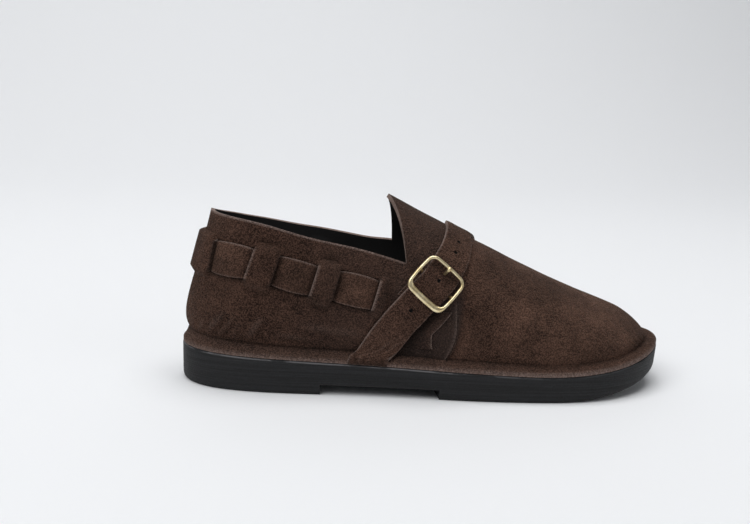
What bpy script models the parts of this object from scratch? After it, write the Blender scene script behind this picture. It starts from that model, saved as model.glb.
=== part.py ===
"""Flat shoe for the right foot: a leather upper turned out over a rubber unit sole, with a buckled
strap across the instep and a second strap woven through slits round the heel.

The shoe is worked out in millimetres with the back of the heel at x = 0, the toe towards +X, the outer
side of the foot towards -Y and the floor at z = 0.  Objects are placed with the origin under the middle.
"""

from collections import namedtuple
import math

import bpy
import numpy as np

MM = 0.001
LATERAL = -1
MEDIAL = 1

# Outsole
SOLE_LENGTH = 266.0
HEEL_THICKNESS = 20.0
BALL_THICKNESS = 14.3
BALL_STATION = 185.0
SPRING_STATION = 190.0
TOP_SPRING = 9.2
FLOOR_SPRING = 11.0
HEEL_BREAST = 72.0
FOREFOOT_BREAST = 134.0
WAIST_CLEARANCE = 5.6
SOLE_COLUMNS = 44
SOLE_EDGE_ROUND = 1.8
SOLE_EDGE_RISE = 1.6
SOLE_EDGE_HALF = 0.5

# Leather and the gaps between pieces
WALL = 2.2
SEAT_GAP = 0.3
STRAP_GAP = 0.45

# Flange: the turned-out edge of the upper
FLANGE_EDGE = 2.2
FLANGE_TRIM = 0.2
FLANGE_DIP = 0.36

# Upper
BULGE_HEIGHT = 12.0
HEEL_STATIONS = (0.0, 3.0, 8.0)
THROAT_STATION = 115.2
VAMP_COLUMNS = 17
FLAP_ROWS = 7
SADDLE_STATION = 140.8
SADDLE_EDGE = 0.5
SADDLE_STEP = 1.3
SADDLE_FADE = 13.5
SADDLE_TOP = 50.0
SADDLE_BLEND = 9.0
SADDLE_BOW = 4.4
SADDLE_BOW_TOP = 40.0
SADDLE_BOW_SPAN = 18.0

# Weave of the heel strap through the quarters
BAR_PROUD = 3.3
WINDOW_SUNK = -1.3
BAND_DROP = 21.6
BAND_HALF = 8.3
BAND_SLANT = 0.28
SLANT_REACH = 10.0
SLANT_IN = (6.0, 24.0)
SLANT_OUT = (98.0, 113.2)
HEEL_STRAP_FACE = 0.8
HEEL_STRAP_THICKNESS = 1.8
BAR_END = 2.2
BAR_FADE = 3.0

# Insole
INSOLE_THICKNESS = 2.8

# Instep strap, buckle and tab
STRAP_WIDTH = 18.0
STRAP_THICKNESS = 2.0
STRAP_SEGMENT = 3.4
STRAP_SKEW = 1.14
STRAP_TAPER = 0.17
TAPER_SPAN = (8.0, 40.0)
SKEW_START = -20.0
SKEW_END = -36.0
INNER_SQUARE = 30.0
INNER_SKEW = 14.0
TAB_HUMP_IN = (-26.0, -20.0)
TAB_HUMP_OUT = (-4.0, 6.0)
BAR_HUMP_IN = (-7.0, -2.0)
BAR_HUMP_OUT = (3.0, 10.0)
PRONG_SLOT_WIDTH = 4.4
PRONG_SLOT_START = 3.6
PRONG_SLOT_END = 8.2
BUCKLE_TURN = 0.28
BUCKLE_ALONG = 20.6
BUCKLE_ACROSS = 22.6
BUCKLE_CORNER = 6.0
BUCKLE_ROD = 2.6
BUCKLE_HEIGHT_LOW = 5.2
BUCKLE_HEIGHT_HIGH = 4.1
BAR_ROD = 1.8
BAR_HEIGHT = 1.4
PRONG_ROD = 1.3
TAB_THICKNESS = 1.2
TAB_START = -17.0
TAB_END = -2.2
TAB_WIDTH = 18.0
TAB_OFFSET = 1.4
TAB_ROWS = 5

# One row for each section of the last, by its station along the sole: half widths of the sole's edge,
# width of the flange and height of its crease over the sole, the ridge point that the section leans to,
# the powers that shape its side and its top, and the swell of its side.
Section = namedtuple(
    "Section",
    "station lateral medial flange crease spine_x spine_y side_power top_power bulge",
)
SECTIONS = (
    Section(0.0, 0.0, 0.0, 3.2, 8.5, 27.0, 0.0, 1.2, 1.0, 3.0),
    Section(12.0, 20.6, 20.4, 4.0, 7.4, 33.0, 0.0, 1.7, 1.4, 2.8),
    Section(45.0, 31.0, 32.0, 5.0, 6.2, 50.0, 0.5, 3.0, 2.0, 2.4),
    Section(90.0, 35.4, 32.2, 5.4, 5.8, 84.0, 2.0, 3.0, 2.0, 2.0),
    Section(120.0, 39.3, 32.4, 5.5, 5.6, 113.2, 3.0, 3.0, 2.0, 1.6),
    Section(150.0, 43.6, 37.2, 5.5, 5.4, 145.0, 4.0, 2.8, 2.0, 1.3),
    Section(185.0, 46.2, 45.0, 5.5, 5.2, 182.0, 4.0, 2.5, 2.0, 1.2),
    Section(215.0, 44.8, 46.0, 5.6, 5.0, 208.0, 3.4, 2.3, 2.0, 1.2),
    Section(240.0, 35.8, 40.0, 6.2, 4.4, 226.0, 2.8, 2.1, 2.0, 1.0),
    Section(258.0, 19.6, 27.0, 6.8, 3.8, 236.0, 2.3, 2.0, 2.0, 0.8),
    Section(266.0, -2.2, 2.2, 7.0, 3.6, 238.0, 2.2, 2.0, 2.0, 0.8),
)

# Height of the instep ridge along the shoe; behind the throat it is only the line that the sides lean to
Ridge = namedtuple("Ridge", "x height")
RIDGE = (
    Ridge(0.0, 156.8),
    Ridge(109.0, 101.6),
    Ridge(144.5, 83.7),
    Ridge(171.3, 70.9),
    Ridge(207.2, 54.9),
    Ridge(240.3, 42.0),
    Ridge(266.0, 32.5),
)

# Height of the collar on the outer side
Collar = namedtuple("Collar", "station height")
COLLAR = (
    Collar(0.0, 91.8),
    Collar(12.0, 91.3),
    Collar(45.0, 86.9),
    Collar(66.0, 81.9),
    Collar(90.0, 77.3),
    Collar(120.0, 69.2),
)

# Rise of the collar on the inner side over the outer one
Rim = namedtuple("Rim", "station rise")
INNER_RIM = (
    Rim(0.0, 0.0),
    Rim(12.0, -2.6),
    Rim(25.0, -4.2),
    Rim(45.0, -3.9),
    Rim(70.0, -1.8),
    Rim(95.0, -0.6),
    Rim(115.2, 2.6),
)

# Rows of the quarter: drops below the collar, then shares of what is left down to the crease
QUARTER_DROPS = (0.0, 5.2, 10.3, 12.7, 21.6, 30.5, 33.7)
WOVEN_DROPS = (12.7, 21.6, 30.5)
QUARTER_SHARES = (0.26, 0.5, 0.72, 0.88, 1.0)

# Windows of the quarter where the heel strap shows, by station along the sole
Window = namedtuple("Window", "back front")
WINDOWS = (
    Window(12.4, 33.2),
    Window(46.9, 66.6),
    Window(78.4, 98.6),
)

# Route of the instep strap: turn is the share of the wall, 0 at the outer crease, 1 on the ridge and 2 at
# the inner crease; its ends lie on the flange, below 0 and above 2
StrapPoint = namedtuple("StrapPoint", "station turn")
STRAP_OUTER_END = StrapPoint(96.5, -0.85)
STRAP_INNER_END = StrapPoint(158.0, 2.85)
STRAP_ROUTE = (
    StrapPoint(100.7, 0.0),
    StrapPoint(108.6, 0.053),
    StrapPoint(118.6, 0.144),
    StrapPoint(129.6, 0.28),
    StrapPoint(137.6, 0.43),
    StrapPoint(144.8, 0.64),
    StrapPoint(151.8, 1.0),
    StrapPoint(155.6, 1.4),
    StrapPoint(157.4, 1.7),
    StrapPoint(158.2, 1.9),
    StrapPoint(158.4, 2.0),
)

# Middle line of the prong in the buckle's frame: along the strap and over the upper
ProngPoint = namedtuple("ProngPoint", "along height")
PRONG_REST = BUCKLE_HEIGHT_HIGH + BUCKLE_ROD / 2 + SEAT_GAP + PRONG_ROD / 2
PRONG_PATH = (
    ProngPoint(BAR_ROD / 2 + SEAT_GAP, 1.25),
    ProngPoint(3.2, 1.3),
    ProngPoint(4.6, 1.9),
    ProngPoint(6.4, 3.4),
    ProngPoint(8.0, 4.8),
    ProngPoint(9.6, PRONG_REST),
    ProngPoint(11.2, PRONG_REST),
    ProngPoint(12.0, PRONG_REST - 0.3),
)


def spline(knots, values):
    """Natural cubic curve through the rows of a table, as a function of the knot coordinate."""
    knots = np.asarray(knots, float)
    values = np.asarray(values, float)
    gaps = np.diff(knots)
    count = len(knots)
    matrix = np.eye(count)
    bends = np.zeros(count)
    for row in range(1, count - 1):
        before, after = gaps[row - 1], gaps[row]
        matrix[row, row - 1:row + 2] = before, 2 * (before + after), after
        bends[row] = 6 * ((values[row + 1] - values[row]) / after - (values[row] - values[row - 1]) / before)
    curvature = np.linalg.solve(matrix, bends)

    def value(place):
        place = np.clip(np.asarray(place, float), knots[0], knots[-1])
        cell = np.clip(np.searchsorted(knots, place) - 1, 0, count - 2)
        gap = gaps[cell]
        right = (place - knots[cell]) / gap
        left = 1 - right
        line = left * values[cell] + right * values[cell + 1]
        bend = (left ** 3 - left) * curvature[cell] + (right ** 3 - right) * curvature[cell + 1]
        return line + bend * gap ** 2 / 6

    return value


def angle_of(station):
    """Angle of a station: stations crowd at the heel and the toe, where the outline turns."""
    return np.arccos(1 - 2 * np.asarray(station, float) / SOLE_LENGTH)


def edge_x(angle):
    return SOLE_LENGTH * (1 - np.cos(angle)) / 2


SECTION_ANGLES = angle_of([row.station for row in SECTIONS])
SHAPE = {
    name: spline(SECTION_ANGLES, [getattr(row, name) for row in SECTIONS])
    for name in Section._fields[1:]
}
ridge_height = spline([row.x for row in RIDGE], [row.height for row in RIDGE])
collar_height = spline(angle_of([row.station for row in COLLAR]), [row.height for row in COLLAR])
inner_rim = spline([row.station for row in INNER_RIM], [row.rise for row in INNER_RIM])


def smooth(low, high, value):
    """Soft step from 0 at low to 1 at high."""
    share = np.clip((np.asarray(value, float) - low) / (high - low), 0, 1)
    return share * share * (3 - 2 * share)


def sole_top(x):
    """Height of the outsole's upper face."""
    share = np.clip(np.asarray(x, float) / BALL_STATION, 0, 1)
    spring = np.clip((x - SPRING_STATION) / (SOLE_LENGTH - SPRING_STATION), 0, None) ** 2
    return HEEL_THICKNESS + (BALL_THICKNESS - HEEL_THICKNESS) * share + TOP_SPRING * spring


def sole_floor(x):
    """Height of the outsole's tread: flat on the floor, then the toe spring."""
    return FLOOR_SPRING * np.clip((x - SPRING_STATION) / (SOLE_LENGTH - SPRING_STATION), 0, None) ** 2


def half_width(side, angle):
    return SHAPE["medial" if side == MEDIAL else "lateral"](angle)


def outline(side, angle, inset):
    """Plan point on the sole's edge, moved in by inset."""
    step = 1e-4
    low = np.clip(angle - step, 0, math.pi)
    high = np.clip(angle + step, 0, math.pi)
    along = edge_x(high) - edge_x(low)
    across = half_width(side, high) - half_width(side, low)
    size = np.hypot(along, across)
    x = edge_x(angle) + inset * across / size
    y = half_width(side, angle) - inset * along / size
    return x, side * y


def wall(side, angle, lift):
    """Point on the outside of the last-shaped wall; lift is 0 at the crease and 1 on the ridge."""
    phi = np.asarray(lift, float) * math.pi / 2
    rise = np.sin(phi) ** (2 / SHAPE["side_power"](angle))
    reach = np.abs(np.cos(phi)) ** (2 / SHAPE["top_power"](angle))
    foot_x, foot_y = outline(side, angle, SHAPE["flange"](angle))
    spine_x = SHAPE["spine_x"](angle)
    spine_y = SHAPE["spine_y"](angle)
    x = spine_x + (foot_x - spine_x) * reach
    y = spine_y + (foot_y - spine_y) * reach
    base = sole_top(foot_x) + SHAPE["crease"](angle)
    height = (ridge_height(x) - base) * rise
    swell = SHAPE["bulge"](angle) * height / BULGE_HEIGHT * np.exp(1 - height / BULGE_HEIGHT)
    run = np.hypot(foot_x - spine_x, foot_y - spine_y)
    x = x + swell * (foot_x - spine_x) / run
    y = y + swell * (foot_y - spine_y) / run
    return np.stack(np.broadcast_arrays(x, y, base + height), -1)


def flange(side, angle, share):
    """Point on top of the flange; share is 0 at the crease and 1 at the trimmed edge."""
    width = SHAPE["flange"](angle)
    inset = width + (FLANGE_TRIM - width) * share
    x, y = outline(side, angle, inset)
    low = SEAT_GAP + FLANGE_EDGE
    drop = share + FLANGE_DIP * np.sin(math.pi * share) / 2
    return np.stack((x, y, sole_top(x) + SHAPE["crease"](angle) + (low - SHAPE["crease"](angle)) * drop), -1)


def skin(side, angle, lift):
    """Point on the outside of the upper: the wall, or the flange where lift is below 0."""
    if lift < 0:
        return flange(side, angle, -lift)
    return wall(side, angle, lift)


def skin_frame(side, angle, lift, surface=wall):
    """Two tangents and the outward normal of the upper's outside."""
    step = 1e-4
    low, high = (0.0, 1.0) if surface is wall else (-1.0, 1.0)
    ahead = np.clip(angle + step, 0, math.pi)
    behind = np.clip(angle - step, 0, math.pi)
    above = np.clip(lift + step, low, high)
    below = np.clip(lift - step, low, high)
    along = (surface(side, ahead, lift) - surface(side, behind, lift)) / (ahead - behind)[..., None]
    up = (surface(side, angle, above) - surface(side, angle, below)) / (above - below)[..., None]
    normal = -side * np.cross(along, up)
    normal /= np.linalg.norm(normal, axis=-1, keepdims=True)
    return along, up, normal


def lift_at(side, angle, height):
    """Lift at which the wall reaches a height."""
    low, high = 0.0, 0.97
    for _ in range(40):
        middle = (low + high) / 2
        if wall(side, angle, middle)[..., 2] < height:
            low = middle
        else:
            high = middle
    return (low + high) / 2


def saddle_bow(height):
    """How far back the saddle's front edge curves as it comes down to the sole."""
    return SADDLE_BOW * np.clip((SADDLE_BOW_TOP - height) / SADDLE_BOW_SPAN, 0, 1) ** 2


def saddle_proud(station, height):
    """How far the saddle flap stands proud of the vamp, behind its front edge."""
    back = SADDLE_STATION - station
    if back < 0 or back > SADDLE_FADE:
        return 0.0
    low = 1 - smooth(SADDLE_TOP, SADDLE_TOP + SADDLE_BLEND, height)
    return SADDLE_STEP * (1 - back / SADDLE_FADE) * low


class Sheet:
    """Outer points, inner points and faces of one leather wall, closed round its edges at the end."""

    def __init__(self):
        self.outer = []
        self.inner = []
        self.faces = []
        self.places = {}

    def point(self, key, make):
        """Number of the point with this key, made once as an outer and an inner place."""
        if key not in self.places:
            outer, inner = make()
            self.places[key] = len(self.outer)
            self.outer.append(np.asarray(outer, float))
            self.inner.append(np.asarray(inner, float))
        return self.places[key]

    def quad(self, corners, turned):
        self.faces.append(tuple(reversed(corners)) if turned else tuple(corners))

    def closed(self):
        """Points and faces of the closed wall."""
        count = len(self.outer)
        faces = list(self.faces)
        faces += [tuple(corner + count for corner in reversed(face)) for face in self.faces]
        edges = {}
        for face in self.faces:
            for start, end in zip(face, face[1:] + face[:1]):
                edges[(start, end)] = True
        for start, end in edges:
            if (end, start) not in edges:
                faces.append((end, start, start + count, end + count))
        return np.array(self.outer + self.inner), faces


def plan_middle():
    """Middle of the sole's width, which the objects are centred on."""
    angles = np.linspace(0, math.pi, 400)
    return (half_width(MEDIAL, angles).max() - half_width(LATERAL, angles).max()) / 2


ORIGIN = np.array((SOLE_LENGTH / 2, plan_middle(), 0.0))


def material(name, colour, roughness, metallic=0.0):
    finish = bpy.data.materials.new(name)
    finish.use_nodes = True
    shader = finish.node_tree.nodes["Principled BSDF"]
    shader.inputs["Base Color"].default_value = (*colour, 1.0)
    shader.inputs["Roughness"].default_value = roughness
    shader.inputs["Metallic"].default_value = metallic
    return finish


def mesh_object(name, points, faces, finish):
    """Named object from points in millimetres, shaded smooth but for its sharp edges."""
    mesh = bpy.data.meshes.new(name)
    places = (np.asarray(points) - ORIGIN) * MM
    mesh.from_pydata([tuple(place) for place in places], [], faces)
    mesh.validate()
    mesh.shade_smooth()
    mesh.set_sharp_from_angle(angle=math.radians(40))
    mesh.materials.append(finish)
    piece = bpy.data.objects.new(name, mesh)
    bpy.context.scene.collection.objects.link(piece)
    return piece


# Outsole and insole


def sole_angles():
    even = np.linspace(0, math.pi, SOLE_COLUMNS)
    breasts = angle_of([HEEL_BREAST, FOREFOOT_BREAST])
    kept = [angle for angle in even if np.abs(angle - breasts).min() > math.pi / SOLE_COLUMNS / 2]
    return np.sort(np.concatenate((kept, breasts)))


def build_outsole(finish):
    """Unit sole: a slab with the waist's underside, and heel and forefoot blocks that drop to the floor."""
    angles = sole_angles()
    last = len(angles) - 1
    heel = int(np.abs(angles - angle_of(HEEL_BREAST)).argmin())
    forefoot = int(np.abs(angles - angle_of(FOREFOOT_BREAST)).argmin())
    rings = ((0.0, None), (SOLE_EDGE_HALF / 2, WAIST_CLEARANCE),
             (SOLE_EDGE_HALF, SOLE_EDGE_RISE), (SOLE_EDGE_ROUND, 0.0))
    points = []
    places = {}

    def corner(side, column, ring):
        key = (0 if column in (0, last) else side, column, ring)
        if key not in places:
            inset, rise = rings[ring]
            x, y = outline(side, angles[column], inset)
            z = sole_top(x) if rise is None else sole_floor(edge_x(angles[column])) + rise
            places[key] = len(points)
            points.append((x, y, z))
        return places[key]

    faces = []

    def patch(corners, turned):
        distinct = list(dict.fromkeys(corners))
        if len(distinct) > 2:
            faces.append(distinct[::-1] if turned else distinct)

    for column in range(last):
        block = column < heel or column >= forefoot
        bottom = len(rings) - 1 if block else 1
        for ring in range(bottom):
            for side in (LATERAL, MEDIAL):
                quad = (corner(side, column, ring + 1), corner(side, column + 1, ring + 1),
                        corner(side, column + 1, ring), corner(side, column, ring))
                patch(quad, side == MEDIAL)
        for ring, turned in ((0, False), (bottom, True)):
            quad = (corner(LATERAL, column, ring), corner(LATERAL, column + 1, ring),
                    corner(MEDIAL, column + 1, ring), corner(MEDIAL, column, ring))
            patch(quad, turned)
    for column, turned in ((heel, False), (forefoot, True)):
        for ring in range(1, len(rings) - 1):
            quad = (corner(LATERAL, column, ring + 1), corner(MEDIAL, column, ring + 1),
                    corner(MEDIAL, column, ring), corner(LATERAL, column, ring))
            patch(quad, turned)
    return mesh_object("outsole", points, faces, finish)


def build_insole(finish):
    """Board inside the upper, just over the outsole, with its corners at the upper's columns."""
    angles = angle_of([column.station for column in upper_columns()])
    last = len(angles) - 1
    points = []
    places = {}

    def corner(side, column, rise):
        key = (0 if column in (0, last) else side, column, rise)
        if key not in places:
            inset = SHAPE["flange"](angles[column]) + WALL + SEAT_GAP
            x, y = outline(side, angles[column], inset)
            places[key] = len(points)
            points.append((x, y, sole_top(x) + rise))
        return places[key]

    low, high = SEAT_GAP, SEAT_GAP + INSOLE_THICKNESS
    faces = []
    for column in range(last):
        ahead = column + 1
        quads = [
            (corner(LATERAL, column, high), corner(LATERAL, ahead, high),
             corner(MEDIAL, ahead, high), corner(MEDIAL, column, high)),
            (corner(MEDIAL, column, low), corner(MEDIAL, ahead, low),
             corner(LATERAL, ahead, low), corner(LATERAL, column, low)),
            (corner(LATERAL, column, low), corner(LATERAL, ahead, low),
             corner(LATERAL, ahead, high), corner(LATERAL, column, high)),
            (corner(MEDIAL, column, high), corner(MEDIAL, ahead, high),
             corner(MEDIAL, ahead, low), corner(MEDIAL, column, low)),
        ]
        faces += [tuple(dict.fromkeys(quad)) for quad in quads]
    return mesh_object("insole", points, faces, finish)


# Upper with its woven quarters

Column = namedtuple("Column", "station behind ahead")


def upper_columns():
    """Columns of the wall from the heel to the toe, with how far it stands out behind and ahead of each."""
    columns = [Column(station, BAR_PROUD, BAR_PROUD) for station in HEEL_STATIONS]
    for number, window in enumerate(WINDOWS):
        third = (window.front - window.back) / 3
        columns.append(Column(window.back, BAR_PROUD, WINDOW_SUNK))
        columns += [Column(window.back + third * step, WINDOW_SUNK, WINDOW_SUNK) for step in (1, 2)]
        columns.append(Column(window.front, WINDOW_SUNK, BAR_PROUD))
        if number + 1 < len(WINDOWS):
            middle = (window.front + WINDOWS[number + 1].back) / 2
        else:
            middle = window.front + BAR_END
        columns.append(Column(middle, BAR_PROUD, BAR_PROUD))
    columns.append(Column(columns[-1].station + BAR_FADE, 0.0, 0.0))
    throat = angle_of(THROAT_STATION)
    vamp = [edge_x(angle) for angle in np.linspace(throat, math.pi, VAMP_COLUMNS)]
    vamp[0] = THROAT_STATION
    vamp[-1] = SOLE_LENGTH
    saddle = (SADDLE_STATION - SADDLE_EDGE / 2, SADDLE_STATION + SADDLE_EDGE / 2)
    spacing = vamp[2] - vamp[1]
    vamp = [station for station in vamp if abs(station - SADDLE_STATION) > spacing / 2]
    columns += [Column(station, 0.0, 0.0) for station in sorted([*vamp, *saddle])]
    return columns


def slant(station, drop):
    """Shift of a column along the shoe, which leans the window sides square to the band."""
    share = smooth(*SLANT_IN, station) * (1 - smooth(*SLANT_OUT, station))
    return BAND_SLANT * np.clip(BAND_DROP - drop, -SLANT_REACH, SLANT_REACH) * share


def rim_rise(side, station):
    """How far the inner quarter's rim stands above the outer one."""
    return 0.0 if side == LATERAL else float(inner_rim(station))


def quarter_place(side, station, drop, share):
    """Angle and lift of a place in the quarter: a drop below the collar, then a share of the rest."""
    angle = angle_of(station + slant(station, drop))
    top = collar_height(angle)
    height = top - drop
    if drop < QUARTER_DROPS[2]:
        height = height + rim_rise(side, station) * (1 - drop / QUARTER_DROPS[2])
    if share > 0:
        base = wall(side, angle, 0.0)[..., 2]
        height = height + (base - height) * share
    return angle, (lift_at(side, angle, height) if share < 1 else 0.0)


def lower_rows():
    """Rows of the wall from the crease up to the collar, as a drop and a share."""
    rows = [(QUARTER_DROPS[-1], share) for share in reversed(QUARTER_SHARES)]
    rows += [(drop, 0.0) for drop in reversed(QUARTER_DROPS)]
    return rows


def build_upper(finish):
    """One hollow wall: quarters, flap and vamp over the foot, and the flange round the sole."""
    columns = upper_columns()
    rows = lower_rows()
    collar_row = len(rows) - 1
    ridge_row = collar_row + FLAP_ROWS
    throat = [column.station for column in columns].index(THROAT_STATION)
    sheet = Sheet()
    throat_lifts = {
        side: [quarter_place(side, THROAT_STATION, drop, share)[1] for drop, share in rows]
        for side in (LATERAL, MEDIAL)
    }

    def wall_place(side, station, row):
        if row > collar_row:
            start = throat_lifts[side][collar_row]
            return angle_of(station), start + (1 - start) * (row - collar_row) / FLAP_ROWS
        if station >= THROAT_STATION:
            lift = throat_lifts[side][row]
            if abs(station - SADDLE_STATION) < SADDLE_EDGE:
                station = station - saddle_bow(wall(side, angle_of(station), lift)[2])
            return angle_of(station), lift
        return quarter_place(side, station, *rows[row])

    def corner(side, number, row, ahead):
        column = columns[number]
        shared = column.station in (0.0, SOLE_LENGTH) or row == ridge_row
        woven = 0 <= row <= collar_row and rows[row][1] == 0 and rows[row][0] in WOVEN_DROPS
        cut = woven and column.behind != column.ahead

        def make():
            if row < 0:
                bow = SADDLE_BOW if abs(column.station - SADDLE_STATION) < SADDLE_EDGE else 0.0
                return flange_pair(side, angle_of(column.station - bow), row)
            angle, lift = wall_place(side, column.station, row)
            angle, lift = np.asarray(angle), np.asarray(lift)
            place = wall(side, angle, lift)
            normal = skin_frame(side, angle, lift)[2]
            proud = 0.0
            if woven:
                proud = column.ahead if ahead else column.behind
            proud += saddle_proud(column.station, place[2])
            return place + normal * proud, place + normal * (proud - WALL)

        return sheet.point((0 if shared else side, number, row, ahead and cut), make)

    for side in (LATERAL, MEDIAL):
        for number in range(len(columns) - 1):
            for row in range(-3, ridge_row):
                if row >= collar_row and number < throat:
                    continue
                quad = (corner(side, number, row, True), corner(side, number + 1, row, False),
                        corner(side, number + 1, row + 1, False), corner(side, number, row + 1, True))
                sheet.quad(quad, side == MEDIAL)
    return mesh_object("upper", *sheet.closed(), finish)


def flange_pair(side, angle, row):
    """Outer and inner place of a flange row: -1 on its slope, -2 on its edge's top, -3 under the edge."""
    angle = np.asarray(angle)
    inner_x, inner_y = outline(side, angle, SHAPE["flange"](angle) + WALL)
    crease = SHAPE["crease"](angle)
    inner_rise = SEAT_GAP + (crease - SEAT_GAP) * (row + 3) / 3
    inner = (inner_x, inner_y, sole_top(inner_x) + inner_rise)
    if row == -3:
        x, y = outline(side, angle, FLANGE_TRIM)
        return (x, y, sole_top(x) + SEAT_GAP), inner
    return flange(side, angle, -0.5 * row), inner


# Straps


def build_heel_strap(finish):
    """Band round the heel at a steady depth in the wall, over the windows and under the bars."""
    columns = upper_columns()
    last = [column.station for column in columns].index(WINDOWS[-1].front) + 1
    drops = (BAND_DROP + BAND_HALF, BAND_DROP, BAND_DROP - BAND_HALF)
    sheet = Sheet()

    def corner(side, number, row):
        station = columns[number].station

        def make():
            angle, lift = quarter_place(side, station, drops[row], 0.0)
            angle, lift = np.asarray(angle), np.asarray(lift)
            place = wall(side, angle, lift)
            normal = skin_frame(side, angle, lift)[2]
            return place + normal * HEEL_STRAP_FACE, place + normal * (HEEL_STRAP_FACE - HEEL_STRAP_THICKNESS)

        return sheet.point((0 if number == 0 else side, number, row), make)

    for side in (LATERAL, MEDIAL):
        for number in range(last):
            for row in range(len(drops) - 1):
                quad = (corner(side, number, row), corner(side, number + 1, row),
                        corner(side, number + 1, row + 1), corner(side, number, row + 1))
                sheet.quad(quad, side == MEDIAL)
    return mesh_object("heel_strap", *sheet.closed(), finish)


def unfold(turn):
    """Side and lift of a turn that runs over the ridge."""
    return (LATERAL, turn) if turn <= 1 else (MEDIAL, 2 - turn)


def nearest_on_skin(side, angle, lift, target):
    """Place on the upper nearest to a point, searched from a place close by."""
    for _ in range(8):
        along, up, _normal = skin_frame(side, np.asarray(angle), np.asarray(lift), skin)
        miss = target - skin(side, np.asarray(angle), np.asarray(lift))
        move = np.linalg.lstsq(np.stack((along, up), -1), miss, rcond=None)[0]
        angle = float(np.clip(angle + move[0], 0.0, math.pi))
        lift = float(lift + np.clip(move[1], -0.3, 0.3))
        if lift > 1:
            side, lift = -side, 2 - lift
        lift = max(lift, -1.0)
    return side, angle, lift


class Route:
    """Line of the instep strap over the upper, measured in millimetres from the buckle."""

    def __init__(self):
        shares = np.linspace(0, 1, len(STRAP_ROUTE))
        steps = np.linspace(0, 1, 300)
        flange_steps = np.linspace(0, 1, 30)
        rows = {}
        for number, name in enumerate(StrapPoint._fields):
            middle = spline(shares, [row[number] for row in STRAP_ROUTE])(steps)
            outer = np.interp(flange_steps[:-1], (0, 1), (STRAP_OUTER_END[number], middle[0]))
            inner = np.interp(flange_steps[1:], (0, 1), (middle[-1], STRAP_INNER_END[number]))
            rows[name] = np.concatenate((outer, middle, inner))
        self.stations, self.turns = rows["station"], rows["turn"]
        self.numbers = np.arange(len(self.turns))
        points = np.array([self.place(number)[3] for number in self.numbers])
        lengths = np.concatenate(([0.0], np.cumsum(np.linalg.norm(np.diff(points, axis=0), axis=1))))
        self.lengths = lengths - np.interp(BUCKLE_TURN, self.turns, lengths)

    def place(self, number):
        """Side, angle, lift and point at a place in the sampled line."""
        side, lift = unfold(float(np.interp(number, self.numbers, self.turns)))
        angle = float(angle_of(np.interp(number, self.numbers, self.stations)))
        return side, angle, lift, skin(side, np.asarray(angle), np.asarray(lift))

    def at(self, length):
        """Side, angle, lift, point, and the along, across and outward directions at a length."""
        number = float(np.interp(length, self.lengths, self.numbers))
        side, angle, lift, point = self.place(number)
        before = self.place(max(number - 2, 0))[3]
        after = self.place(min(number + 2, self.numbers[-1]))[3]
        along = (after - before) / np.linalg.norm(after - before)
        normal = skin_frame(side, np.asarray(angle), np.asarray(lift), skin)[2]
        across = np.cross(normal, along)
        across /= np.linalg.norm(across)
        return side, angle, lift, point, along, across, np.cross(along, across)

    def beside(self, length, offset):
        """Point and outward normal on the upper, beside the line by an offset.

        The offset is square to the strap over the instep and runs along the sole at the strap's ends.
        """
        offset = offset * (1 - STRAP_TAPER * float(smooth(*TAPER_SPAN, length)))
        side, angle, lift, point, _along, across, _normal = self.at(length)
        from_end = self.lengths[-1] - length
        skew = max(1 - smooth(SKEW_END, SKEW_START, length), 1 - smooth(INNER_SKEW, INNER_SQUARE, from_end))
        widened = -offset * (STRAP_SKEW if side == LATERAL else 1.0)
        level = float(angle_of(edge_x(angle) + widened))
        if skew < 1:
            side, square, square_lift = nearest_on_skin(side, angle, lift, point + across * offset)
            angle = square + (level - square) * skew
            lift = square_lift + (lift - square_lift) * skew
        else:
            angle = level
        place = skin(side, np.asarray(angle), np.asarray(lift))
        normal = skin_frame(side, np.asarray(angle), np.asarray(lift), skin)[2]
        proud = saddle_proud(float(edge_x(angle)), place[2]) if lift >= 0 else 0.0
        return place + normal * proud, normal


def strap_hump(length):
    """Lift of the strap over the tab and over the buckle's middle bar."""
    tab = (TAB_THICKNESS + SEAT_GAP) * smooth(*TAB_HUMP_IN, length) * (1 - smooth(*TAB_HUMP_OUT, length))
    bar = BAR_HEIGHT + BAR_ROD / 2 + SEAT_GAP - STRAP_GAP
    return max(tab, bar * smooth(*BAR_HUMP_IN, length) * (1 - smooth(*BAR_HUMP_OUT, length)))


def strip(route, lengths, offsets, base, thickness, skipped=()):
    """Closed strip of leather on the upper; skipped cells are cut through."""
    sheet = Sheet()

    def corner(number, lane):
        def make():
            place, normal = route.beside(lengths[number], offsets[lane])
            low = base(lengths[number])
            return place + normal * (low + thickness), place + normal * low

        return sheet.point((number, lane), make)

    for number in range(len(lengths) - 1):
        for lane in range(len(offsets) - 1):
            if (number, lane) not in skipped:
                quad = (corner(number, lane), corner(number + 1, lane),
                        corner(number + 1, lane + 1), corner(number, lane + 1))
                sheet.quad(quad, False)
    return sheet.closed()


def build_instep_strap(route, finish):
    """Strap from the outer flange through the buckle and over the instep to the inner flange."""
    start, end = route.lengths[0], route.lengths[-1]
    lower = np.linspace(start, PRONG_SLOT_START, round((PRONG_SLOT_START - start) / STRAP_SEGMENT) + 1)
    upper = np.linspace(PRONG_SLOT_END, end, round((end - PRONG_SLOT_END) / STRAP_SEGMENT) + 1)
    lengths = np.concatenate((lower, upper))
    half, slot = STRAP_WIDTH / 2, PRONG_SLOT_WIDTH / 2
    points, faces = strip(
        route, lengths, (-half, -slot, slot, half),
        lambda length: STRAP_GAP + strap_hump(length), STRAP_THICKNESS, {(len(lower) - 1, 1)},
    )
    return mesh_object("instep_strap", points, faces, finish)


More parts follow.
